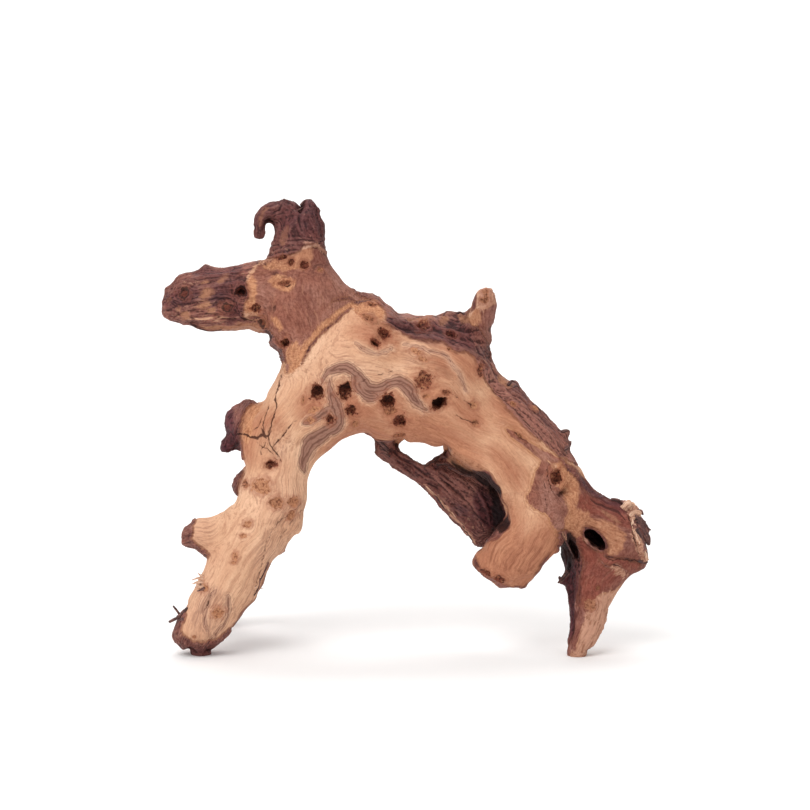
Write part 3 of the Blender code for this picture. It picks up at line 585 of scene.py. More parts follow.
# How much other wood blocks each point's outlook, which is painted into its colour as shade, is felt out with this many
# looks at each point, this far
OCCLUSION_SHADE_LOOKS = 14
OCCLUSION_SHADE_REACH = 28.0
# On the back, the front's outlines wander by so many view steps
BACK_WANDER = 16.0
# Wood deeper than this in the drawing lies behind, where the front's painted rim shade and dark lines fade out by
# HIND_FADE
HIND_DEPTH = 12
HIND_FADE = 30
# The near-black rot and painted shade reaches this deep, and right of FOOT_SIDE on the view only the block and the foot
# have it
BLACK_REACH = 26
FOOT_SIDE = 535
FAR = 40.0
# A knot hole's place is counted in its radii, up to this, and bends the grain this many radii around it
KNOT_FAR = 6.0
KNOT_REACH = 7
# A point this far above or below its surroundings, in millimetres, counts as a full crest or groove
CREST_HEIGHT = 0.16
CREST_PASSES = 5

# Each kind of wood, and how far its border feathers along the fibres
KINDS = {
    "dark": (DARK_WOOD, 0.5), "red": (RED_WOOD, 0.6), "orange": (ORANGE_WOOD, 0.8), "tan": (TAN_WOOD, 2.0),
    "grained": (GRAINED_WOOD, 1.0), "bleak": (BLEAK_WOOD, 1.0), "ruddy": (RUDDY_WOOD, 1.4),
    "worn": (WORN_SPOTS, 1.0), "pale": (PALE_WOOD, 1.8), "black": (BLACK_ROT_AND_SHADE, 0.3),
}
# Kinds that lie in scattered patches on the back, and the seed of each
SCATTERED = {"orange": 22, "worn": 23, "grained": 28, "bleak": 29, "ruddy": 30}
# Limbs of dark wood all over, and how far the wood of each limb has darkened with age
OWN_DARK = ("tongue", "rear root", "rear stub")
AGED = {
    "crown": 0.8, "hook": 0.6, "tongue": 0.35, "block": 0.3, "foot": 0.3, "middle knob": 0.4, "upper knob": 0.3,
    "spur": 0.3,
}
FIELDS = (*KINDS, "band", "crack", "knot", "bore", "pit", "aged", "occlusion_shade", "crest", "arm")

# The floor in metres: its two sides, and how it runs back and then up behind the wood
FLOOR_SIDES = (-4.0, 4.0)
FLOOR_ROWS = ((-3.0, 0.0), (1.2, 0.0), (1.6, 0.06), (1.9, 0.25), (2.05, 0.6), (2.1, 3.0))

# The pieces small enough for a finer skin all over their dark wood
ROOMY = ("left_arm", "hooked_crown", "top_spur", "right_foot", "right_root", "left_leg")


def linear(code):
    """An sRGB hex colour as linear red, green and blue."""
    parts = [int(code[start:start + 2], 16) / 255 for start in (1, 3, 5)]
    return [part / 12.92 if part <= 0.04045 else ((part + 0.055) / 1.055) ** 2.4 for part in parts]


def length_setting(name, description, length):
    """A length that can be set, given in millimetres."""
    return bpy.props.FloatProperty(
        name=name, description=description, default=length * MM, min=0, unit="LENGTH", precision=5)


def colour_setting(name, description, code):
    return bpy.props.FloatVectorProperty(
        name=name, description=description, subtype="COLOR", min=0, max=1, default=linear(code))


class MopaniWoodSettings(bpy.types.PropertyGroup):
    """Sizes and colours of the wood."""

    bark_rise: length_setting("Bark rise", "How far the dark outer wood stands proud of the light wood", 0.8)
    bark_relief: length_setting("Bark relief", "Height of the folds and flutes in the dark outer wood", 1.0)
    grain_relief: length_setting(
        "Grain relief", "Height that sandblasting leaves the hard grain of the light wood", 0.28)
    knot_depth: bpy.props.FloatProperty(
        name="Knot depth", description="Depth of the knot holes, as a share of their full depth",
        default=0.6, min=0, max=1, subtype="FACTOR")
    crack_depth: length_setting("Crack depth", "Depth of the drying cracks", 0.7)
    sapwood: colour_setting("Sapwood", "Colour of the light wood", "#e4ba9a")
    heartwood: colour_setting("Dark heartwood", "Colour of the weathered dark outer wood", "#74453d")
    red_heartwood: colour_setting("Red heartwood", "Colour of the smooth red-brown wood", "#96604f")
    border: colour_setting(
        "Border wood", "Colour of the orange wood between heartwood and sapwood", "#cb926c")
    torn: colour_setting("Torn wood", "Colour of torn and worn pale wood", "#d3a284")
    tan: colour_setting("Tan wood", "Colour of the warmer light wood of the right root", "#b0765a")
    band: colour_setting("Growth bands", "Colour of the grey-brown bands in the light wood", "#8a6052")


class MopaniStageSettings(bpy.types.PropertyGroup):
    """The floor and the light."""

    floor: colour_setting("Floor", "Colour of the floor", "#f7f6f5")
    light: bpy.props.FloatProperty(
        name="Light", description="Power of the large soft light", default=15.0, min=0, unit="POWER")
    daylight: bpy.props.FloatProperty(
        name="Daylight", description="Strength of the even light all around", default=0.5, min=0)
    backdrop_light: bpy.props.FloatProperty(
        name="Backdrop light", description="Power of the light on the backdrop", default=30.0, min=0,
        unit="POWER")


def smoothstep(low, high, values):
    share = np.clip((values - low) / (high - low), 0, 1)
    return share * share * (3 - 2 * share)


def unit(ways):
    return ways / np.linalg.norm(ways, axis=-1, keepdims=True)


def dot(first, second):
    return (first * second).sum(axis=-1)


def swell_noise(points, seed):
    """Smooth noise from about -1 to 1, with swells about one unit across."""
    random = np.random.default_rng(seed)
    order = random.permutation(256)
    ways = unit(random.normal(size=(256, 3)))
    cell = np.floor(points).astype(int)
    inside = points - cell
    eased = inside**3 * (inside * (6 * inside - 15) + 10)
    total = np.zeros(len(points))
    for corner in itertools.product((0, 1), repeat=3):
        across, deep, high = ((cell + corner) & 255).T
        lean = dot(inside - corner, ways[order[(order[(order[across] + deep) & 255] + high) & 255]])
        total += lean * np.where(corner, eased, 1 - eased).prod(axis=1)
    return total * 1.7


def noises(points, size, *seeds):
    """Smooth noises side by side, with swells so many millimetres across."""
    return np.column_stack([swell_noise(points / size, seed) for seed in seeds])


def flutes(points, seed):
    """Noise from -1 to 1 with sharp crests."""
    return 1 - 2.4 * np.abs(swell_noise(points, seed))


def eased_line(stations, steps=8):
    """A smooth line through the stations."""
    stations = np.array(stations, float)
    before_first = 2 * stations[0] - stations[1]
    after_last = 2 * stations[-1] - stations[-2]
    padded = np.vstack((before_first, stations, after_last))
    share = np.arange(steps)[:, None] / steps
    spans = []
    for before, start, end, after in zip(padded, padded[1:], padded[2:], padded[3:]):
        spans.append(start + 0.5 * share * (
            end - before + share * (2 * before - 5 * start + 4 * end - after
                                    + share * (3 * (start - end) + after - before))))
    return np.vstack((*spans, stations[-1:]))


def on_view(points):
    """Where points lie on the front view, right and down of its corner."""
    seen = points - EYE
    scale = FOCUS / (seen @ LOOK)
    return np.column_stack((VIEW_STEPS / 2 + seen[:, 0] * scale, VIEW_STEPS / 2 - (seen @ VIEW_UP) * scale))


def sight(right, down):
    """The way from the eye to a place on the front view, of length one along the middle of the view."""
    return LOOK + (VIEW_RIGHT * (right - VIEW_STEPS / 2) + VIEW_UP * (VIEW_STEPS / 2 - down)) / FOCUS


def gap_to_line(places, line):
    """How far each place lies from a line on the view, up to FAR, and at what share of its length."""
    gap = np.full(len(places), FAR)
    along = np.zeros(len(places))
    low, high = line.min(axis=0) - FAR, line.max(axis=0) + FAR
    near = np.flatnonzero(((places > low) & (places < high)).all(axis=1))
    close = places[near]
    for index, (start, end) in enumerate(zip(line, line[1:])):
        run = end - start
        share = np.clip((close - start) @ run / (run @ run), 0, 1)
        found = np.hypot(*(close - start - share[:, None] * run).T)
        nearer = found < gap[near]
        gap[near] = np.where(nearer, found, gap[near])
        along[near] = np.where(nearer, (index + share) / (len(line) - 1), along[near])
    return gap, along


def depth_in_stroke(places, line, half):
    """How far each place lies inside a stroke that thins out at its ends; negative outside."""
    gap, along = gap_to_line(places, eased_line(line, 4))
    thin = np.sqrt(np.clip(5 * np.minimum(along, 1 - along), 0, 1))
    return half * (1.3 * thin - 0.3) - gap


def depth_in_strokes(places, strokes):
    """How far each place lies inside the stroke that it is deepest in."""
    return np.max([depth_in_stroke(places, line, half) for line, half in strokes], axis=0)


def rounded(outline):
    """A closed outline with its corners cut, its first point repeated at the end."""
    after = np.roll(outline, -1, axis=0)
    cut = np.stack((0.8 * outline + 0.2 * after, 0.2 * outline + 0.8 * after), axis=1).reshape(-1, 2)
    return np.vstack((cut, cut[:1]))


def depth_inside(places, outline):
    """How far each place lies inside a closed outline on the view, in millimetres; negative outside."""
    line = rounded(np.array(outline, float))
    inside = np.zeros(len(places), bool)
    right, down = places.T
    for (right_1, down_1), (right_2, down_2) in zip(line, line[1:]):
        if down_1 != down_2:
            crosses = (down_1 > down) != (down_2 > down)
            inside ^= crosses & (right < right_1 + (right_2 - right_1) * (down - down_1) / (down_2 - down_1))
    return np.where(inside, 1, -1) * gap_to_line(places, line)[0] * STEP


def depth_inside_any(places, outlines):
    """How far each place lies inside the outline that it is deepest in."""
    return np.max([depth_inside(places, outline) for outline in outlines.values()], axis=0)


def follow_limbs(points):
    """Where each point lies across, into and along the limbs, and how much it belongs to each limb."""
    drawn = points + DRAWING_SHIFT
    belongs = []
    fibres = []
    for stations in LIMBS.values():
        line = eased_line(stations)
        middle, radius = line[:, :3], line[:, 3]
        run = unit(np.gradient(middle, axis=0))
        across = unit(np.cross(run, (0, 1, 0)))
        deep = np.cross(across, run)
        length = np.concatenate(([0], np.cumsum(np.linalg.norm(np.diff(middle, axis=0), axis=1))))
        nearest = np.argmin(dot(middle, middle) - 2 * drawn @ middle.T, axis=1)
        offset = drawn - middle[nearest]
        belongs.append(np.exp(-LIMB_BLEND * np.linalg.norm(offset, axis=1) / radius[nearest]))
        fibres.append(np.column_stack((
            dot(offset, across[nearest]), dot(offset, deep[nearest]),
            length[nearest] + dot(offset, run[nearest]))))
    belongs = np.array(belongs)
    belongs /= belongs.sum(axis=0)
    fibre = sum(share[:, None] * each for share, each in zip(belongs, fibres))
    return fibre, dict(zip(LIMBS, belongs))


def into_hollow(drawn, hollow):
    """The points seen from a hollow's middle, with its radii as units."""
    centre, radii, turn = hollow
    angle = math.radians(turn)
    turned = np.array(((math.cos(angle), 0, math.sin(angle)), (0, 1, 0), (-math.sin(angle), 0, math.cos(angle))))
    return (drawn - centre) @ turned.T / radii, turned, np.array(radii)


def open_hollows(points):
    """Moves the skin that has crept into the hollows back to their walls."""
    drawn = points + DRAWING_SHIFT
    for hollow in HOLLOWS:
        seen, turned, radii = into_hollow(drawn, hollow)
        share = np.linalg.norm(seen, axis=1)
        crept = share < HOLLOW_SHARE
        walls = seen[crept] * (HOLLOW_SHARE / share[crept])[:, None]
        drawn[crept] = (walls * radii) @ turned + hollow[0]
    return drawn - DRAWING_SHIFT


def depth_in_hollows(drawn):
    """How far each point of the drawing lies inside the hollows; negative outside."""
    deepest = np.full(len(drawn), -FAR)
    for hollow in HOLLOWS:
        seen, _, radii = into_hollow(drawn, hollow)
        deepest = np.maximum(deepest, (HOLLOW_SHARE + HOLLOW_RIM - np.linalg.norm(seen, axis=1)) * radii.min())
    return deepest


def search_tree(meshes):
    """A tree that finds where rays meet the meshes, and which of their faces lies nearest."""
    shape = bmesh.new()
    for mesh in meshes:
        shape.from_mesh(mesh)
    tree = BVHTree.FromBMesh(shape)
    shape.free()
    return tree


def note_occlusion_shade(mesh):
    """Notes at each vertex of the coarse skin how much of its outlook other wood blocks, for the painted shade in its
    colour.
    """
    points, ways = mesh_arrays(mesh)
    tree = search_tree([mesh])
    looks = unit(np.random.default_rng(5).normal(size=(OCCLUSION_SHADE_LOOKS, 3)))
    occlusion_shade = np.zeros(len(points))
    for look in looks:
        outward = unit(ways * 1.05 + look)
        starts = ((points + ways * 0.6) * MM).tolist()
        for index, (start, way) in enumerate(zip(starts, outward.tolist())):
            if tree.ray_cast(start, way, OCCLUSION_SHADE_REACH * MM)[0] is not None:
                occlusion_shade[index] += 1 / OCCLUSION_SHADE_LOOKS
    mesh.attributes.new("occlusion_shade", "FLOAT", "POINT").data.foreach_set("value", occlusion_shade)


Hole = namedtuple("Hole", "centre wide tall depth radius")


def find_holes(skin):
    """Where each knot hole lies on the skin, and the two ways across it."""
    tree = search_tree([skin])
    rays = [(knot, EYE, sight(knot.right, knot.down), VIEW_UP, 1 / FOCUS) for knot in FRONT_KNOTS]
    for knot in BACK_KNOTS:
        start = np.array([knot.right, 400, knot.down]) - DRAWING_SHIFT
        rays.append((knot, start, np.array([0, -1.0, 0]), np.array([0, 0, 1.0]), 0))
    holes = []
    for knot, start, way, up, spread in rays:
        hit, _, _, _ = tree.ray_cast(Vector(start * MM), Vector(way))
        if hit is None:
            raise ValueError(f"no wood lies behind the knot at {knot.right}, {knot.down}")
        centre = np.array(hit) / MM
        size = (centre - start) @ LOOK * spread if spread else 1
        angle = math.radians(knot.turn)
        wide = (math.cos(angle) * VIEW_RIGHT + math.sin(angle) * up) / (knot.half_width * size)
        tall = (math.cos(angle) * up - math.sin(angle) * VIEW_RIGHT) / (knot.half_height * size)
        holes.append(Hole(centre, wide, tall, knot.depth, max(knot.half_width, knot.half_height) * size))
    return holes


def survey(points, ways, holes):
    """What the wood is at each point: distances into each kind of wood, in millimetres, and its grain."""
    drawn = points + DRAWING_SHIFT
    fibre, limb = follow_limbs(points)
    plain_view = on_view(points)
    back = smoothstep(0.1, -0.4, dot(ways, unit(EYE - points)))
    hind = back * (drawn[:, 1] > HIND_DEPTH)
    edge = 1.5 * noises(points, 9, 13, 14) + 0.8 * noises(points, 3, 18, 19)
    view = plain_view + BACK_WANDER * back[:, None] * noises(points, 26, 11, 12) + edge
    drift = noises(points, 22, 41, 42)
    feather = 1.1 * swell_noise((fibre + np.column_stack((3 * drift, fibre[:, 2] * 0))) / (2.6, 2.6, 26), 15)
    fields = {"view": plain_view, "back": back}
    for name, (outlines, feathering) in KINDS.items():
        fields[name] = depth_inside_any(view, outlines) + feathering * feather
    tongue = np.minimum(depth_inside(view, DARK_TONGUE), drawn[:, 1] - 4)
    own_dark = 14 * (np.max([limb[name] for name in OWN_DARK], axis=0) - 0.5)
    back_dark = 9 * (swell_noise(points / 34, 21) - 0.12) - 22 * (1 - back)
    hollow = depth_in_hollows(drawn)
    fields["dark"] = np.max([fields["dark"], tongue, own_dark, back_dark, hollow], axis=0)
    fields["bark"] = fields["dark"]
    # stain holds the painted shade at the hollows' rims together with the dark lines along edges
    stain = np.maximum(depth_inside_any(view, SHADED_RIMS), STEP * depth_in_strokes(view, DARK_LINES))
    fields["dark"] = np.maximum(fields["dark"], stain - HIND_FADE * hind)
    fields["pale"] = np.maximum(fields["pale"], STEP * depth_in_strokes(view, PALE_LINES))
    for name, seed in SCATTERED.items():
        patches = np.minimum(fields[name], 6 * swell_noise(points / 9, seed) - 3)
        fields[name] = np.where(back > 0.5, patches, fields[name])
    fields["tan"] = np.maximum(fields["tan"], 7 * swell_noise(points / 30, 24) - 17 * (1 - back))
    reach = np.where((back > 0.8) & (drawn[:, 1] > HIND_DEPTH), -FAR, drawn[:, 1] + BLACK_REACH)
    spared = (plain_view[:, 0] > FOOT_SIDE) & (limb["foot"] + limb["block"] <= 0.4)
    fields["black"] = np.where(spared, -FAR, np.minimum(fields["black"], reach))
    flow = view + 1.8 * noises(points, 12, 26, 27)
    bands = sum(np.exp(STEP * depth_in_stroke(flow, line, half) / 0.8) for line, half in GREY_BANDS)
    fields["band"] = np.where(back > 0.5, 4 * swell_noise(points / (14, 14, 40), 25) - 1.5, 0.8 * np.log(bands))
    jagged = view + 0.9 * noises(points, 1.8, 45, 46)
    cracks = -STEP * depth_in_strokes(jagged, [(line, half / STEP) for line, half in CRACKS])
    fields["crack"] = cracks + 0.4 * smoothstep(0.0, 0.7, swell_noise(points / 4, 47))
    fields["arm"] = depth_inside(view, DARK_WOOD["arm"])
    aged = sum(share * limb[name] for name, share in AGED.items())
    # Besides age and the darkest wood, the hollows' walls are darkened here as painted shade
    fields["aged"] = np.clip(
        aged + 0.7 * smoothstep(-4, 2, fields["bleak"]) + smoothstep(-0.3, 1.6, hollow), 0, 1)
    push = survey_holes(points, fibre, holes, fields) + 3.0 * drift + 0.55 * noises(points, 5.5, 43, 44)
    fields["fibre"] = fibre + np.column_stack((push, np.zeros(len(points))))
    return fields


def survey_holes(points, fibre, holes, fields):
    """Notes how near each point lies to a knot hole and how deep that goes, and gives how it bends the grain."""
    ragged = 1 + 0.34 * swell_noise(points / 3.4, 31) + 0.18 * swell_noise(points / 1.6, 32)
    fields["knot"] = np.full(len(points), KNOT_FAR)
    fields["pit"] = np.zeros(len(points))
    fields["bore"] = np.zeros(len(points))
    push = np.zeros((len(points), 2))
    for hole in holes:
        offset = points - hole.centre
        gap = np.linalg.norm(offset, axis=1)
        near = np.flatnonzero(gap < KNOT_REACH * hole.radius)
        offset, gap = offset[near], gap[near]
        share = np.hypot(offset @ hole.wide, offset @ hole.tall) * ragged[near]
        share = np.maximum(share, 0.4 * gap / hole.radius)
        nearer = share < fields["knot"][near]
        fields["bore"][near] = np.where(nearer, hole.depth, fields["bore"][near])
        fields["knot"][near] = np.minimum(fields["knot"][near], share)
        fields["pit"][near] = np.maximum(fields["pit"][near], hole.depth * (1 - smoothstep(0.3, 1.1, share)))
        core = near[np.argmin(gap)]
        around = fibre[near, :2] - fibre[core, :2]
        strength = 1.6 * hole.radius**2 / np.maximum(gap, 0.8 * hole.radius) ** 2
        push[near] -= around * (strength * np.exp(-gap / (4 * hole.radius)))[:, None]
    return push


def lift_of(points, fields, settings):
    """How far the surface stands out from the plain skin at each point, in millimetres."""
    fibre = fields["fibre"]
    bark = smoothstep(-0.5, 0.9, fields["bark"])
    red = smoothstep(-0.6, 0.8, fields["red"])
    torn = smoothstep(-0.3, 1.2, fields["pale"])
    worn = smoothstep(-0.3, 0.8, fields["worn"])
    light = 1 - np.maximum(bark, red)
    relief = settings.bark_relief / MM
    deep_grooves = -flutes(fibre / (5.2, 5.2, 50), 51)
    fine_flutes = flutes(fibre / (2.1, 2.1, 16), 52)
    blotches = swell_noise(points / 6, 53)
    grain = swell_noise(fibre / (4.5, 4.5, 60), 54) + 0.5 * swell_noise(fibre / (1.9, 1.9, 24), 55)
    rough = swell_noise(points / 1.9, 56) + 0.5 * swell_noise(points / 1.1, 57)
    lift = -SAW_CLOSING + bark * settings.bark_rise / MM * np.exp(-np.maximum(fields["bark"], 0) / 9)
    lift += bark * (1 - 0.6 * worn) * relief * (
        0.42 * deep_grooves + 0.24 * fine_flutes + 0.35 * blotches + 0.2 * rough)
    lift += light * settings.grain_relief / MM * grain
    lift += red * (0.25 + 0.14 * grain + 0.14 * blotches)
    lift += torn * (0.55 * rough + 0.35 * fine_flutes) - 0.45 * bark * worn
    front = 1 - fields["back"]
    wobbled = fields["view"] + 0.9 * noises(points, 5, 58, 59)
    for line, half, height in FOLDS:
        inside = depth_in_stroke(wobbled, line, half)
        lift += relief * front * height * smoothstep(-half, half, inside)
    before = front * smoothstep(6, 1, points[:, 1] + DRAWING_SHIFT[1])
    for swells, share in ((SWELLS, 1), (RIM_SWELLS, before)):
        for right, down, reach, push in swells:
            lift += push * share * np.exp(-((fields["view"] - (right, down)) ** 2).sum(axis=1) / reach**2)
    # The head stands proud of the arm, which leaves a ledge
    lift -= 1.1 * smoothstep(-0.4, 0.6, fields["arm"]) * smoothstep(20, 3, fields["arm"])
    # A groove runs just outside the bark
    lift -= 0.4 * np.exp(-((fields["bark"] + 0.9) / 0.6) ** 2) * (1 - red)
    share = fields["knot"]
    inside = 1 - smoothstep(0.75, 1.05, share)
    collar = np.exp(-((share - 1.3) / 0.3) ** 2)
    lift -= settings.knot_depth * fields["pit"] * (1 + 0.45 * swell_noise(points / 2.4, 60))
    lift += (0.25 + 0.15 * np.minimum(fields["bore"], 3) / 3) * collar * (1 + 0.8 * rough) + 0.55 * inside * rough
    lift -= settings.crack_depth / MM * (1 - smoothstep(-0.4, 0.45, fields["crack"]))
    return lift * smoothstep(-0.5, 2.5, points[:, 2])


def note_crests(mesh, fields):
    """How far each point stands out from its surroundings: 1 on a crest, -1 in a groove."""
    points, ways = mesh_arrays(mesh)
    first, second = edge_ends(mesh)
    blurred = points
    for _ in range(CREST_PASSES):
        blurred = beside(blurred, first, second)
    fields["crest"] = np.clip(dot(points - blurred, ways) / CREST_HEIGHT, -1, 1)


def mesh_arrays(mesh):
    """A mesh's vertices in millimetres, and its vertex normals."""
    places = np.empty(len(mesh.vertices) * 3)
    ways = np.empty(len(mesh.vertices) * 3)
    mesh.vertices.foreach_get("co", places)
    mesh.vertices.foreach_get("normal", ways)
    return places.reshape(-1, 3) / MM, ways.reshape(-1, 3)


def put(name, data):
    """Puts a new object into the scene."""
    made = bpy.data.objects.new(name, data)
    bpy.context.scene.collection.objects.link(made)
    return made


def with_modifier(mesh, kind, **settings):
    """What a modifier makes of a mesh, which it replaces."""
    holder = put("holder", mesh)
    modifier = holder.modifiers.new("making", kind)
    for name, value in settings.items():
        setattr(modifier, name, value)
    bpy.context.view_layer.update()
    made = bpy.data.meshes.new_from_object(holder.evaluated_get(bpy.context.evaluated_depsgraph_get()))
    bpy.data.objects.remove(holder)
    bpy.data.meshes.remove(mesh)
    return made


def mesh_of(shape, name):
    """A new mesh of a shape, which it uses up."""
    mesh = bpy.data.meshes.new(name)
    shape.to_mesh(mesh)
    shape.free()
    return mesh


def closed_skin():
    """One skin over all the solids, with the saw cuts between them closed."""
    shape = bmesh.new()
    for name, node in frame["nodes"].items():
        copy = node.data.copy()
        places, ways = mesh_arrays(copy)
        places += ways * SAW_CLOSING
        near = np.exp(-((places + DRAWING_SHIFT - GAP) ** 2).sum(axis=1) / GAP_REACH**2)
        places[:, 2] += GAP_MOVES.get(name, 0) * near
        copy.vertices.foreach_set("co", (places * MM).ravel())
        shape.from_mesh(copy)
        bpy.data.meshes.remove(copy)
    return with_modifier(mesh_of(shape, "skin"), "REMESH", mode="VOXEL", voxel_size=SKIN_VOXEL * MM)


def edge_ends(mesh):
    ends = np.empty(len(mesh.edges) * 2, np.int32)
    mesh.edges.foreach_get("vertices", ends)
    return ends.reshape(-1, 2).T


def beside(values, first, second):
    """The mean of each vertex's neighbours."""
    count = np.bincount(first, minlength=len(values)) + np.bincount(second, minlength=len(values))
    return np.column_stack([
        np.bincount(first, values[second, axis], len(values)) + np.bincount(second, values[first, axis], len(values))
        for axis in range(values.shape[1])]) / count[:, None]


def ease(mesh):
    """Smooths the solids' facets away: each pass draws the skin in and lets it out again."""
    places, _ = mesh_arrays(mesh)
    first, second = edge_ends(mesh)
    for turn in range(EASE_PASSES):
        for share in EASE_SHARES:
            places += share * (beside(places, first, second) - places)
        if turn >= EASE_PASSES - OPENING_PASSES:
            places = open_hollows(places)
    mesh.vertices.foreach_set("co", (places * MM).ravel())
    mesh.update()


def refine(mesh, holes):
    """Sets the faces closer where knots, cracks and ledges need it, and then all over."""
    points, ways = mesh_arrays(mesh)
    fields = survey(points, ways, holes)
    wanted = (fields["knot"] < 1.5) | (fields["crack"] < 1.1) | (np.abs(fields["arm"]) < 1.2)
    wanted |= (np.abs(fields["dark"]) < 1.2) & (fields["back"] < 0.5)
    barky = (fields["dark"] > -1) & (fields["back"] < 0.6)
    shape = bmesh.new()
    shape.from_mesh(mesh)
    layer = label_faces(shape)
    names = list(frame["nodes"])
    edges = []
    for edge in shape.edges:
        first, second = (vertex.index for vertex in edge.verts)
        roomy = all(names[face[layer]] in ROOMY for face in edge.link_faces)
        if (wanted[first] and wanted[second]) or (roomy and barky[first] and barky[second]):
            edges.append(edge)
    bmesh.ops.subdivide_edges(shape, edges=edges, cuts=1, use_grid_fill=True)
    shape.to_mesh(mesh)
    shape.free()
    return with_modifier(mesh, "SUBSURF", levels=1, render_levels=1)


def label_faces(shape):
    """Notes for each face which of the solids it lies nearest to."""
    solids = [node.data for node in frame["nodes"].values()]
    owners = np.repeat(np.arange(len(solids)), [len(solid.polygons) for solid in solids]).tolist()
    tree = search_tree(solids)
    layer = shape.faces.layers.int.new("solid")
    for face in shape.faces:
        face[layer] = owners[tree.find_nearest(face.calc_center_median())[2]]
    for _ in range(3):
        for face in shape.faces:
            around = [other[layer] for edge in face.edges for other in edge.link_faces if other is not face]
            commonest = max(set(around), key=around.count)
            if around.count(commonest) * 2 > len(around):
                face[layer] = commonest
    return layer


def rims(faces):
    """The closed runs of edges that only one of the faces has, each as a list of vertices."""
    starts = faces.ravel()
    ends = np.roll(faces, -1, axis=1).ravel()
    count = faces.max() + 1
    open_edge = ~np.isin(starts * count + ends, ends * count + starts)
    following = {}
    for start, end in zip(starts[open_edge].tolist(), ends[open_edge].tolist()):
        following.setdefault(start, []).append(end)
    runs = []
    while following:
        first = next(iter(following))
        run = [first]
        while run[-1] in following:
            after = following[run[-1]]
            run.append(after.pop())
            if not after:
                del following[run[-2]]
        runs.append(run[:-1])
    return runs


def piece_from(name, points, ways, faces, fields):
    """A closed mesh of some of the skin's faces, with a cap over each saw cut."""
    caps = []
    for run in rims(faces):
        ring = points[run]
        centre = ring.mean(axis=0)
        facing = np.cross(ring - centre, np.roll(ring, -1, axis=0) - centre).sum(axis=0)
        caps.append((run, centre, -unit(facing)))
    used = np.unique(faces)
    place = np.full(len(points), -1)
    place[used] = np.arange(len(used))
    triangles = []
    for index, (run, _, _) in enumerate(caps):
        middle = len(used) + index
        triangles += [(place[end], place[start], middle) for start, end in zip(run, run[1:] + run[:1])]
    quads = place[faces]
    triangles = np.array(triangles, int).reshape(-1, 3)
    middles = np.array([centre for _, centre, _ in caps]).reshape(-1, 3)
    mesh = bpy.data.meshes.new(name)
    mesh.vertices.add(len(used) + len(caps))
    mesh.vertices.foreach_set("co", (np.vstack((points[used], middles)) * MM).ravel())
    corners = np.concatenate((quads.ravel(), triangles.ravel()))
    mesh.loops.add(len(corners))
    mesh.loops.foreach_set("vertex_index", corners)
    mesh.polygons.add(len(quads) + len(triangles))
    starts = np.concatenate((np.arange(len(quads)) * 4, len(quads) * 4 + np.arange(len(triangles)) * 3))
    mesh.polygons.foreach_set("loop_start", starts)
    mesh.update(calc_edges=True)
    for field in FIELDS:
        values = np.concatenate((fields[field][used], [fields[field][run].mean() for run, _, _ in caps]))
        mesh.attributes.new(field, "FLOAT", "POINT").data.foreach_set("value", values)
    fibre = np.vstack((fields["fibre"][used], *[fields["fibre"][run].mean(axis=0) for run, _, _ in caps]))
    mesh.attributes.new("fibre", "FLOAT_VECTOR", "POINT").data.foreach_set("vector", fibre.ravel())
    mesh.validate()
    mesh.shade_smooth()
    mesh.normals_split_custom_set_from_vertices(np.vstack((ways[used], *[cap[2] for cap in caps])))
    return mesh


def add(tree, kind, output, settings=None, inputs=None):
    """Adds a shader node with its settings, sets or links its inputs, and gives the output asked for."""
    node = tree.nodes.new("ShaderNode" + kind)
    for name, value in (settings or {}).items():
        setattr(node, name, value)
    for socket, value in (inputs or {}).items():
        if isinstance(value, bpy.types.NodeSocket):
            tree.links.new(value, node.inputs[socket])
        else:
            node.inputs[socket].default_value = value
    return node.outputs[output]


def opaque(colour):
    """A colour as the nodes take it, from a hex code or linear red, green and blue; a linked one stays as it is."""
    if isinstance(colour, bpy.types.NodeSocket):
        return colour
    return (*(linear(colour) if isinstance(colour, str) else colour), 1.0)


def paint(tree, ground, coats, blend="MIX"):
    """Lays coats over the ground, each of a share and a colour and thinned by its masks, and gives what shows."""
    shown = opaque(ground)
    for share, colour, thick, *masks in coats:
        for each in (*masks, share):
            thick = add(tree, "Math", 0, {"operation": "MULTIPLY"}, {0: thick, 1: each})
        shown = add(tree, "Mix", 2, {"data_type": "RGBA", "blend_type": blend}, {
            0: thick, 6: shown, 7: opaque(colour)})
    return shown


def fibre_noise(tree, fibre, spacing, length, detail=2.0):
    """Noise drawn out along the fibres, so many millimetres apart and so long."""
    stretched = add(tree, "VectorMath", "Vector", {"operation": "MULTIPLY"}, {
        0: fibre, 1: (1 / spacing, 1 / spacing, 1 / length)})
    return add(tree, "TexNoise", "Fac", inputs={
        "Vector": stretched, "Scale": 1.0, "Detail": detail, "Roughness": 0.55})


def mask_of(tree, value, low, high, wobble=None, sway=0.0):
    """A mask that rises softly as a value goes from low to high, along a border that may wobble."""
    if wobble is not None:
        shift = add(tree, "Math", 0, {"operation": "MULTIPLY_ADD"}, {0: wobble, 1: 2 * sway, 2: -sway})
        value = add(tree, "Math", 0, {"operation": "ADD"}, {0: value, 1: shift})
    return add(tree, "MapRange", "Result", {"interpolation_type": "SMOOTHSTEP"}, {
        "Value": value, "From Min": low, "From Max": high})


def streaks(tree, fibre, spacing, length, low, high, detail=2.0):
    """A mask of streaks along the fibres, so many millimetres apart and so long."""
    return mask_of(tree, fibre_noise(tree, fibre, spacing, length, detail), low, high)


def blotches(tree, place, size, low, high, detail=2.0):
    """A mask of blotches so many millimetres across."""
    noise = add(tree, "TexNoise", "Fac", inputs={
        "Vector": place, "Scale": 1 / (size * MM), "Detail": detail, "Roughness": 0.6})
    return mask_of(tree, noise, low, high)


def field_mask(tree, field, *rise):
    """A mask of where a field of the wood is high, with the rise that mask_of takes."""
    return mask_of(tree, add(tree, "Attribute", "Fac", {"attribute_name": field}), *rise)


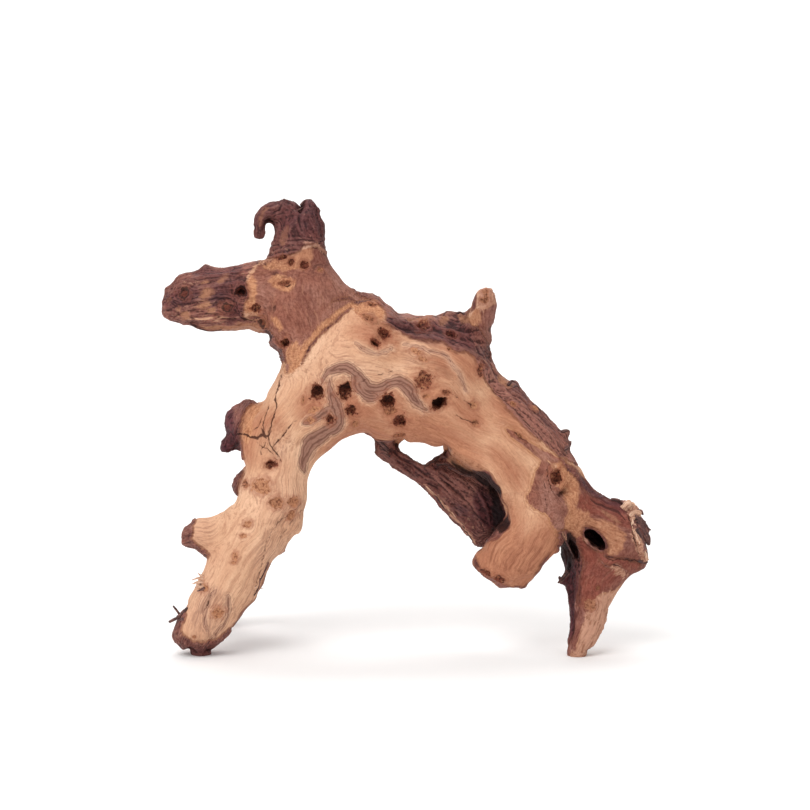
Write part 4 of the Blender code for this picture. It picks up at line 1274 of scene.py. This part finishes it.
def growth_lines(tree, field, spacing, wobble, low=0.0, high=0.9):
    """A mask of fine lines that run beside a border of the wood, about so many millimetres apart."""
    value = add(tree, "Attribute", "Fac", {"attribute_name": field})
    value = add(tree, "Math", 0, {"operation": "MULTIPLY_ADD"}, {0: wobble, 1: 0.9, 2: value})
    uneven = add(tree, "TexNoise", "Fac", {"noise_dimensions": "1D"}, {
        "W": value, "Scale": 0.4 / spacing, "Detail": 2.0})
    turn = add(tree, "Math", 0, {"operation": "MULTIPLY"}, {0: value, 1: 2 * math.pi / spacing})
    turn = add(tree, "Math", 0, {"operation": "MULTIPLY_ADD"}, {0: uneven, 1: 9.0, 2: turn})
    return mask_of(tree, add(tree, "Math", 0, {"operation": "SINE"}, {0: turn}), low, high)


def sapwood_colour(tree, fibre, place, settings):
    """Bare light wood: fine darker fibres, warmer blotches, and grey growth bands with lines inside."""
    warm = blotches(tree, place, 30, 0.38, 0.7)
    broad = streaks(tree, fibre, 6.0, 80.0, 0.42, 0.72)
    fine = streaks(tree, fibre, 1.9, 60.0, 0.52, 0.64)
    hair = streaks(tree, fibre, 1.1, 34.0, 0.55, 0.68, 3.0)
    lines = streaks(tree, fibre, 1.3, 44.0, 0.47, 0.6, 3.0)
    pale_lines = streaks(tree, fibre, 1.9, 50.0, 0.5, 0.64, 3.0)
    wobble = streaks(tree, fibre, 2.6, 24.0, 0.2, 0.8)
    band = field_mask(tree, "band", -2.0, 1.6, wobble, 0.8)
    around = field_mask(tree, "band", -4.4, 0.8, wobble, 1.0)
    dark_rings = growth_lines(tree, "band", 1.9, wobble)
    pale_rings = growth_lines(tree, "band", 1.9, wobble, -0.1, -0.9)
    grained = field_mask(tree, "grained", -4.5, 2.0, wobble, 1.4)
    return paint(tree, settings.sapwood, [
        (0.55, "#d3a184", warm), (0.55, "#cd9c7d", broad), (0.45, "#c6997f", grained), (0.55, "#b28268", fine),
        (0.55, "#966a55", hair), (0.95, settings.band, band), (0.4, "#b08672", band, pale_rings),
        (0.7, "#6b4639", around, dark_rings), (0.5, "#d9ae92", grained, pale_lines),
        (0.55, "#80594a", grained, lines),
    ])


def tan_colour(tree, fibre, settings):
    """Warmer light wood with clear grain lines."""
    light = streaks(tree, fibre, 5.0, 60.0, 0.42, 0.7)
    fine = streaks(tree, fibre, 1.8, 34.0, 0.48, 0.68, 3.0)
    hair = streaks(tree, fibre, 0.9, 18.0, 0.55, 0.7, 3.0)
    grained = field_mask(tree, "grained", -3.0, 2.0)
    lines = streaks(tree, fibre, 1.7, 60.0, 0.5, 0.6, 3.0)
    return paint(tree, settings.tan, [
        (0.6, "#c38a69", light), (0.45, "#935b41", fine), (0.4, "#7f4b37", hair), (0.55, "#834f3a", grained, lines),
    ])


def heartwood_colour(tree, fibre, place, ridges, settings):
    """Weathered dark wood: darker grooves and paler ridges, partly weathering and partly painted shade and highlight,
    reddish and greyed patches, tan flecks.
    """
    mottle = blotches(tree, place, 2.6, 0.42, 0.66, 4.0)
    reddish = blotches(tree, place, 17, 0.44, 0.6, 3.0)
    greyed = blotches(tree, place, 12, 0.52, 0.68, 3.0)
    fleck = streaks(tree, fibre, 2.2, 5.0, 0.62, 0.68, 4.0)
    # The grooves are darkened as painted shade, and the crests and the bump's ridges lightened as painted highlight,
    # over the weathered colour
    low = field_mask(tree, "crest", 0.0, -0.9)
    high = field_mask(tree, "crest", 0.15, 0.95)
    return paint(tree, settings.heartwood, [
        (1.0, "#8d564a", reddish), (0.7, "#674849", greyed),
        (0.85, "#a06a5c", field_mask(tree, "ruddy", -2.5, 1.0)), (0.4, "#5c3630", mottle),
        (0.6, "#9d6e61", mask_of(tree, ridges, 0.53, 0.66)), (0.7, "#412421", mask_of(tree, ridges, 0.47, 0.36)),
        (0.3, "#a97b6a", high), (0.6, "#b5876c", fleck), (0.7, "#2a1312", low),
    ])


def red_heartwood_colour(tree, fibre, place, settings):
    """Smooth red-brown wood with streaks and lighter wear, its grooves darkened as painted shade."""
    worn = blotches(tree, place, 26, 0.4, 0.66, 3.0)
    streak = streaks(tree, fibre, 1.8, 30.0, 0.48, 0.7, 4.0)
    broad = streaks(tree, fibre, 7.0, 44.0, 0.46, 0.7, 3.0)
    light = streaks(tree, fibre, 2.2, 34.0, 0.52, 0.74, 3.0)
    mottle = blotches(tree, place, 4.5, 0.45, 0.7, 4.0)
    # The grooves are darkened as painted shade
    low = field_mask(tree, "crest", -0.1, -0.8)
    return paint(tree, settings.red_heartwood, [
        (1.0, "#a87868", worn), (0.75, "#97503f", field_mask(tree, "ruddy", -3.0, 1.0)), (0.5, "#7b493e", broad),
        (0.3, "#6a3d33", mottle), (0.5, "#693c31", streak), (0.4, "#b07d63", light), (0.7, "#452520", low),
    ])


def rare_wood_colours(tree, fibre, place, settings):
    """The orange border wood, the wood worn bare within the bark, and torn wood."""
    streak = streaks(tree, fibre, 1.8, 26.0, 0.42, 0.72, 3.0)
    light = blotches(tree, place, 5.0, 0.48, 0.66, 4.0)
    mottle = blotches(tree, place, 2.6, 0.5, 0.68, 4.0)
    torn_streak = streaks(tree, fibre, 1.6, 12.0, 0.46, 0.66, 3.0)
    border = paint(tree, settings.border, [
        (0.6, "#cd9a74", light), (0.4, "#8f5a40", mottle), (0.45, "#985f41", streak)])
    worn = paint(tree, "#a87559", [(0.5, "#c3906f", light), (0.7, "#70432f", mottle)])
    return border, worn, paint(tree, settings.torn, [(0.8, "#9c6c50", torn_streak)])


def knot_coats(tree, place, wobble):
    """Coats for the knot holes: a warm collar, a crumbly rim, rings around the arm's knots, and a dark bottom painted
    as shade, darker the deeper the hole is drawn.
    """
    collar = field_mask(tree, "knot", 2.3, 1.0, wobble, 0.4)
    rim = field_mask(tree, "knot", 1.18, 0.92, wobble, 0.25)
    specks = blotches(tree, place, 1.7, 0.48, 0.6)
    grit = blotches(tree, place, 2.0, 0.54, 0.62)
    deep = field_mask(tree, "bore", 0.8, 3.6)
    on_arm = field_mask(tree, "arm", -0.5, 0.5)
    ring = field_mask(tree, "knot", 1.3, 1.05, wobble, 0.15)
    heart = field_mask(tree, "knot", 0.9, 0.6, wobble, 0.25)
    return [
        (0.55, "#9e6149", collar), (0.85, paint(tree, "#b98360", [(1.0, "#7a3d2c", deep)]), rim),
        (1.0, paint(tree, "#8c5a41", [(1.0, "#4a2319", deep)]), rim, specks), (0.65, "#b97f5c", rim, grit),
        (0.85, "#38201d", on_arm, ring), (0.85, "#8d4f3a", on_arm, heart),
        # The bottoms of deep knot holes are painted dark as shade, by the depth drawn for them, which is deeper than
        # they are carved
        (0.75, "#522416", field_mask(tree, "pit", 2.8, 6.0, wobble, 1.1)),
        (0.8, "#1c0d0a", field_mask(tree, "pit", 5.0, 7.0, wobble, 1.1)),
    ]


def new_material(name):
    """A material, its node tree and its shader."""
    material = bpy.data.materials.new(name)
    material.use_nodes = True
    return material, material.node_tree, material.node_tree.nodes["Principled BSDF"]


def finish_skin(tree, shader, colour, strength, depth, height):
    """Gives the shader its colour, the refraction of wood, and a bump so many millimetres deep."""
    tree.links.new(colour, shader.inputs["Base Color"])
    shader.inputs["IOR"].default_value = 1.5
    bump = add(tree, "Bump", "Normal", inputs={"Strength": strength, "Distance": depth * MM, "Height": height})
    tree.links.new(bump, shader.inputs["Normal"])


def mopani_material(settings):
    """Mopani wood, sandblasted bare and dried: matt, with every kind of its wood in one skin."""
    material, tree, shader = new_material("Sandblasted mopani wood")
    fibre = add(tree, "Attribute", "Vector", {"attribute_name": "fibre"})
    place = add(tree, "TexCoord", "Object")
    ridges = fibre_noise(tree, fibre, 1.8, 12.0, 5.0)
    feather = streaks(tree, fibre, 1.5, 14.0, 0.25, 0.75)
    wobble = blotches(tree, place, 1.8, 0.25, 0.75)
    dark = field_mask(tree, "dark", -0.3, 0.45, feather, 0.55)
    red = field_mask(tree, "red", -0.7, 0.5, feather, 0.6)
    orange = field_mask(tree, "orange", -1.3, 1.1, feather, 0.8)
    clear = field_mask(tree, "band", 0.6, -4.6, feather, 0.8)
    tan = field_mask(tree, "tan", -13.0, 5.0, feather, 1.5)
    rings = growth_lines(tree, "red", 2.1, feather)
    border_wood, worn_wood, torn_wood = rare_wood_colours(tree, fibre, place, settings)
    colour = paint(tree, sapwood_colour(tree, fibre, place, settings), [
        (0.55, "#c48f6c", clear, field_mask(tree, "tan", -23.0, -7.0)),
        (1.0, tan_colour(tree, fibre, settings), clear, tan),
        (0.6, "#b5805c", field_mask(tree, "red", -2.6, -0.6, feather, 0.5)),
        (0.5, "#9a6544", field_mask(tree, "red", -6.0, -1.0), rings),
        (1.0, border_wood, orange),
        (1.0, red_heartwood_colour(tree, fibre, place, settings), red),
        (0.9, border_wood, orange),
        (0.8, "#85543f", field_mask(tree, "dark", -1.5, -0.3, feather, 0.4)),
        (1.0, heartwood_colour(tree, fibre, place, ridges, settings), dark),
        (0.85, worn_wood, field_mask(tree, "worn", -1.0, 1.0, feather, 1.0)),
        (1.0, torn_wood, field_mask(tree, "pale", -1.0, 1.0, feather, 1.2)),
        # Near-black for rot and for painted shade in the pocket and beside the foot
        (0.85, "#1c0f0f", field_mask(tree, "black", -0.4, 1.4, feather, 0.4)),
        *knot_coats(tree, place, wobble),
        (0.9, "#44241b", field_mask(tree, "crack", 0.35, -0.2)),
        # Where other wood blocks much of a point's outlook, its colour is darkened: painted shade in hollows and
        # between limbs
        (0.6, "#43231d", field_mask(tree, "occlusion_shade", 0.3, 0.8)),
        (0.85, "#1c0d0c", field_mask(tree, "occlusion_shade", 0.62, 0.95)),
    ])
    # Old wood in the crown and the tongue has turned darker, the hollows' walls are darkened as painted shade, and fine
    # specks and short streaks are drawn coarser than the real pores so that they show
    aged = add(tree, "Attribute", "Fac", {"attribute_name": "aged"})
    ruddy = add(tree, "Math", 0, {"operation": "MAXIMUM"}, {0: red, 1: orange})
    much = add(tree, "Math", 0, {"operation": "MULTIPLY_ADD"}, {0: ruddy, 1: 0.3, 2: 0.16})
    colour = paint(tree, colour, [
        (1.0, "#a78fae", aged),
        (much, "#b08c80", blotches(tree, place, 1.5, 0.4, 0.7, 3.0)),
        (much, "#b08c80", streaks(tree, fibre, 1.2, 7.0, 0.42, 0.68, 3.0)),
    ], "MULTIPLY")
    # Dry bare wood is matt, and the dark outer wood a little less so
    roughness = add(tree, "MapRange", "Result", inputs={"Value": dark, "To Min": 0.7, "To Max": 0.56})
    tree.links.new(roughness, shader.inputs["Roughness"])
    shader.inputs["Specular IOR Level"].default_value = 0.16
    fine_fibre = streaks(tree, fibre, 0.9, 16.0, 0.3, 0.8, 4.0)
    fine_grit = blotches(tree, place, 0.9, 0.2, 0.8, 3.0)
    height = add(tree, "Math", 0, {"operation": "MULTIPLY_ADD"}, {0: fine_grit, 1: 0.35, 2: fine_fibre})
    bark_ridges = add(tree, "Math", 0, {"operation": "MULTIPLY"}, {0: dark, 1: ridges})
    height = add(tree, "Math", 0, {"operation": "MULTIPLY_ADD"}, {0: bark_ridges, 1: 2.8, 2: height})
    finish_skin(tree, shader, colour, 0.55, 0.4, height)
    return material


def splinter_material(name, ground, grooves, tips):
    """Torn mopani fibres: matt, rough, with dark grooves along each splinter and worn edges."""
    material, tree, shader = new_material(name)
    fibre = add(tree, "Attribute", "Vector", {"attribute_name": "fibre"})
    place = add(tree, "TexCoord", "Object")
    height = fibre_noise(tree, fibre, 1.1, 9.0, 4.0)
    colour = paint(tree, ground, [
        (1.0, tips, blotches(tree, place, 3.0, 0.45, 0.65, 3.0)), (1.0, grooves, mask_of(tree, height, 0.54, 0.38))])
    # Bare torn fibres scatter light evenly
    shader.inputs["Roughness"].default_value = 0.75
    finish_skin(tree, shader, colour, 0.6, 0.5, height)
    return material


def onto_wood(tree, line, sunk):
    """A line on the front view laid onto the wood, some millimetres under its skin."""
    ways = [sight(right, down) for right, down in line]
    hits = [tree.ray_cast(Vector(EYE * MM), Vector(way))[0] for way in ways]
    depths = [None if hit is None else (np.array(hit) / MM - EYE) @ LOOK + sunk for hit in hits]
    found = [depth for depth in depths if depth is not None]
    if not found:
        raise ValueError(f"no wood lies behind the splinter at {line[0]}")
    depth = found[0]
    stations = []
    for way, seen in zip(ways, depths):
        if seen is not None and abs(seen - depth) < SPLINTER_JUMP:
            depth = seen
        stations.append(EYE + way * depth)
    return np.array(stations)


def add_splinter(shape, layer, stations, radius, tip, random):
    """Adds one bent, tapered and ridged splinter to a shape."""
    middle = eased_line(stations, 4)
    run = unit(np.gradient(middle, axis=0))
    across = unit(np.cross(run, LOOK))
    deep = np.cross(across, run)
    share = np.arange(len(middle)) / (len(middle) - 1)
    turn = np.arange(SPLINTER_SIDES) * 2 * math.pi / SPLINTER_SIDES
    ridged = 1 + 0.22 * random.normal(size=SPLINTER_SIDES)
    taper = radius * (tip + (1 - tip) * (1 - share**1.6))
    rough = 0.13 * random.normal(size=(len(middle), SPLINTER_SIDES))
    reach = taper[:, None] * np.clip(ridged + rough, 0.45, 1.6)
    along = np.concatenate(([0], np.cumsum(np.linalg.norm(np.diff(middle, axis=0), axis=1))))
    rings = []
    for place, way, into, spokes, length in zip(middle, across, deep, reach, along):
        spots = place + spokes[:, None] * (np.cos(turn)[:, None] * way + 0.8 * np.sin(turn)[:, None] * into)
        ring = [shape.verts.new(spot * MM) for spot in spots]
        for vertex, angle in zip(ring, turn):
            vertex[layer] = (math.cos(angle) * radius, math.sin(angle) * radius, length)
        rings.append(ring)
    for ring, after in zip(rings, rings[1:]):
        for side in range(SPLINTER_SIDES):
            shape.faces.new((ring[side - 1], ring[side], after[side], after[side - 1]))
    for ring, place, way in ((rings[0][::-1], middle[0], -run[0]), (rings[-1], middle[-1], run[-1])):
        end = shape.verts.new((place + way * reach[-1].mean() * 0.5) * MM)
        end[layer] = ring[0][layer]
        for side in range(SPLINTER_SIDES):
            shape.faces.new((ring[side - 1], ring[side], end))


class MOPANI_OT_wood(bpy.types.Operator):
    """Carves and colours the skin over all the limbs, and parts it at the forks"""

    bl_idname = "mopani.wood"
    bl_label = "Wood"

    def execute(self, context):
        settings = context.scene.mopani_wood
        skin = closed_skin()
        ease(skin)
        note_occlusion_shade(skin)
        holes = find_holes(skin)
        skin = refine(skin, holes)
        points, ways = mesh_arrays(skin)
        fields = survey(points, ways, holes)
        points = points + ways * lift_of(points, fields, settings)[:, None]
        points[:, 2] = np.maximum(points[:, 2], 0)
        skin.vertices.foreach_set("co", (points * MM).ravel())
        skin.update()
        _, ways = mesh_arrays(skin)
        note_crests(skin, fields)
        fields["occlusion_shade"] = np.empty(len(points))
        skin.attributes["occlusion_shade"].data.foreach_get("value", fields["occlusion_shade"])
        corners = np.empty(len(skin.loops), np.int32)
        skin.loops.foreach_get("vertex_index", corners)
        faces = corners.reshape(-1, 4).astype(np.int64)
        solid_of = np.empty(len(faces), np.int32)
        skin.attributes["solid"].data.foreach_get("value", solid_of)
        material = mopani_material(settings)
        for index, name in enumerate(frame["nodes"]):
            mesh = piece_from(name + "_wood", points, ways, faces[solid_of == index], fields)
            mesh.materials.append(material)
            piece = put(name + "_wood", mesh)
            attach(piece, "root")
            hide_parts(name)
        bpy.data.meshes.remove(skin)
        return {"FINISHED"}


class MOPANI_OT_splinters(bpy.types.Operator):
    """Sets the splinters, spikes, fibre tufts and the twig on the wood"""

    bl_idname = "mopani.splinters"
    bl_label = "Splinters"

    def execute(self, context):
        tree = search_tree([piece.data for piece in bpy.data.objects if piece.name.endswith("_wood")])
        pale = splinter_material("Torn pale mopani fibres", "#c99c80", "#8a5e49", "#dcb79d")
        dark = splinter_material("Splintered dark mopani bark", "#54332f", "#25110f", "#7d5349")
        random = np.random.default_rng(61)
        for name, splinters in SPLINTERS.items():
            shape = bmesh.new()
            layer = shape.verts.layers.float_vector.new("fibre")
            for line, radius, tip in splinters:
                add_splinter(shape, layer, onto_wood(tree, line, 0.3 * radius), radius, tip, random)
            bmesh.ops.recalc_face_normals(shape, faces=shape.faces)
            mesh = with_modifier(mesh_of(shape, name), "SUBSURF", levels=1, render_levels=1)
            mesh.name = name
            mesh.shade_smooth()
            mesh.materials.append(pale if "_pale_" in name else dark)
            piece = put(name, mesh)
            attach(piece, "root")
        return {"FINISHED"}


class MOPANI_OT_stage(bpy.types.Operator):
    """Sets the wood on a pale floor in soft studio light, before a camera"""

    bl_idname = "mopani.stage"
    bl_label = "Stage"

    def execute(self, context):
        settings = context.scene.mopani_stage
        scene = context.scene
        shape = bmesh.new()
        ends = [[shape.verts.new((side, depth, height)) for side in FLOOR_SIDES] for depth, height in FLOOR_ROWS]
        for near, far in zip(ends, ends[1:]):
            shape.faces.new((near[0], near[1], far[1], far[0]))
        mesh = mesh_of(shape, "floor")
        mesh.shade_smooth()
        material, tree, shader = new_material("Matt white paper")
        fine = add(tree, "TexNoise", "Fac", inputs={"Scale": 900.0, "Detail": 2.0})
        paper = paint(tree, settings.floor, [(1.0, [0.985 * part for part in settings.floor], fine)])
        tree.links.new(paper, shader.inputs["Base Color"])
        shader.inputs["Roughness"].default_value = 0.9
        mesh.materials.append(material)
        put("floor", mesh)
        world = bpy.data.worlds.new("Daylight")
        world.use_nodes = True
        world.node_tree.nodes["Background"].inputs["Color"].default_value = (1, 1, 1, 1)
        world.node_tree.nodes["Background"].inputs["Strength"].default_value = settings.daylight
        scene.world = world
        for name, place, aim, size, power in (
            ("soft light above", (-0.5, -0.9, 1.4), (0, 0, 0.15), 1.0, settings.light),
            ("fill from the right", (1.1, -1.3, 0.6), (0, 0, 0.15), 1.2, settings.light * 0.35),
            ("fill from the left", (-1.4, -0.5, 0.5), (0, 0, 0.15), 1.0, settings.light * 0.3),
            ("light on the backdrop", (0, 0.7, 1.9), (0, 2.1, 0.5), 1.6, settings.backdrop_light),
        ):
            light = bpy.data.lights.new(name, "AREA")
            light.size = size
            light.energy = power
            lamp = put(name, light)
            lamp.location = place
            lamp.rotation_euler = (Vector(aim) - lamp.location).to_track_quat("-Z", "Y").to_euler()
        camera = bpy.data.cameras.new("front view")
        camera.lens = LENS
        camera.sensor_width = SENSOR
        scene.camera = put("front view", camera)
        scene.camera.location = Vector(EYE * MM)
        scene.camera.rotation_euler = (math.pi / 2 - VIEW_TILT, 0, 0)
        scene.view_settings.view_transform = "Standard"
        return {"FINISHED"}


class MOPANI_PT_panel(bpy.types.Panel):
    """Lists the steps that dress the wood"""

    bl_idname = "MOPANI_PT_panel"
    bl_label = "Mopani Wood"
    bl_space_type = "VIEW_3D"
    bl_region_type = "UI"
    bl_category = "Mopani Wood"

    def draw(self, context):
        for operator in OPERATORS:
            self.layout.operator(operator.bl_idname)
        for settings in (context.scene.mopani_wood, context.scene.mopani_stage):
            box = self.layout.box()
            for name in settings.bl_rna.properties.keys():
                if name not in ("rna_type", "name"):
                    box.prop(settings, name)


OPERATORS = (MOPANI_OT_wood, MOPANI_OT_splinters, MOPANI_OT_stage)
CLASSES = (MopaniWoodSettings, MopaniStageSettings, *OPERATORS, MOPANI_PT_panel)


def register():
    for each in CLASSES:
        bpy.utils.register_class(each)
    bpy.types.Scene.mopani_wood = bpy.props.PointerProperty(type=MopaniWoodSettings)
    bpy.types.Scene.mopani_stage = bpy.props.PointerProperty(type=MopaniStageSettings)


def unregister():
    del bpy.types.Scene.mopani_stage
    del bpy.types.Scene.mopani_wood
    for each in reversed(CLASSES):
        bpy.utils.unregister_class(each)


def main():
    register()
    bpy.ops.mopani.wood()
    bpy.ops.mopani.splinters()
    bpy.ops.mopani.stage()


if __name__ == "__main__":
    main()
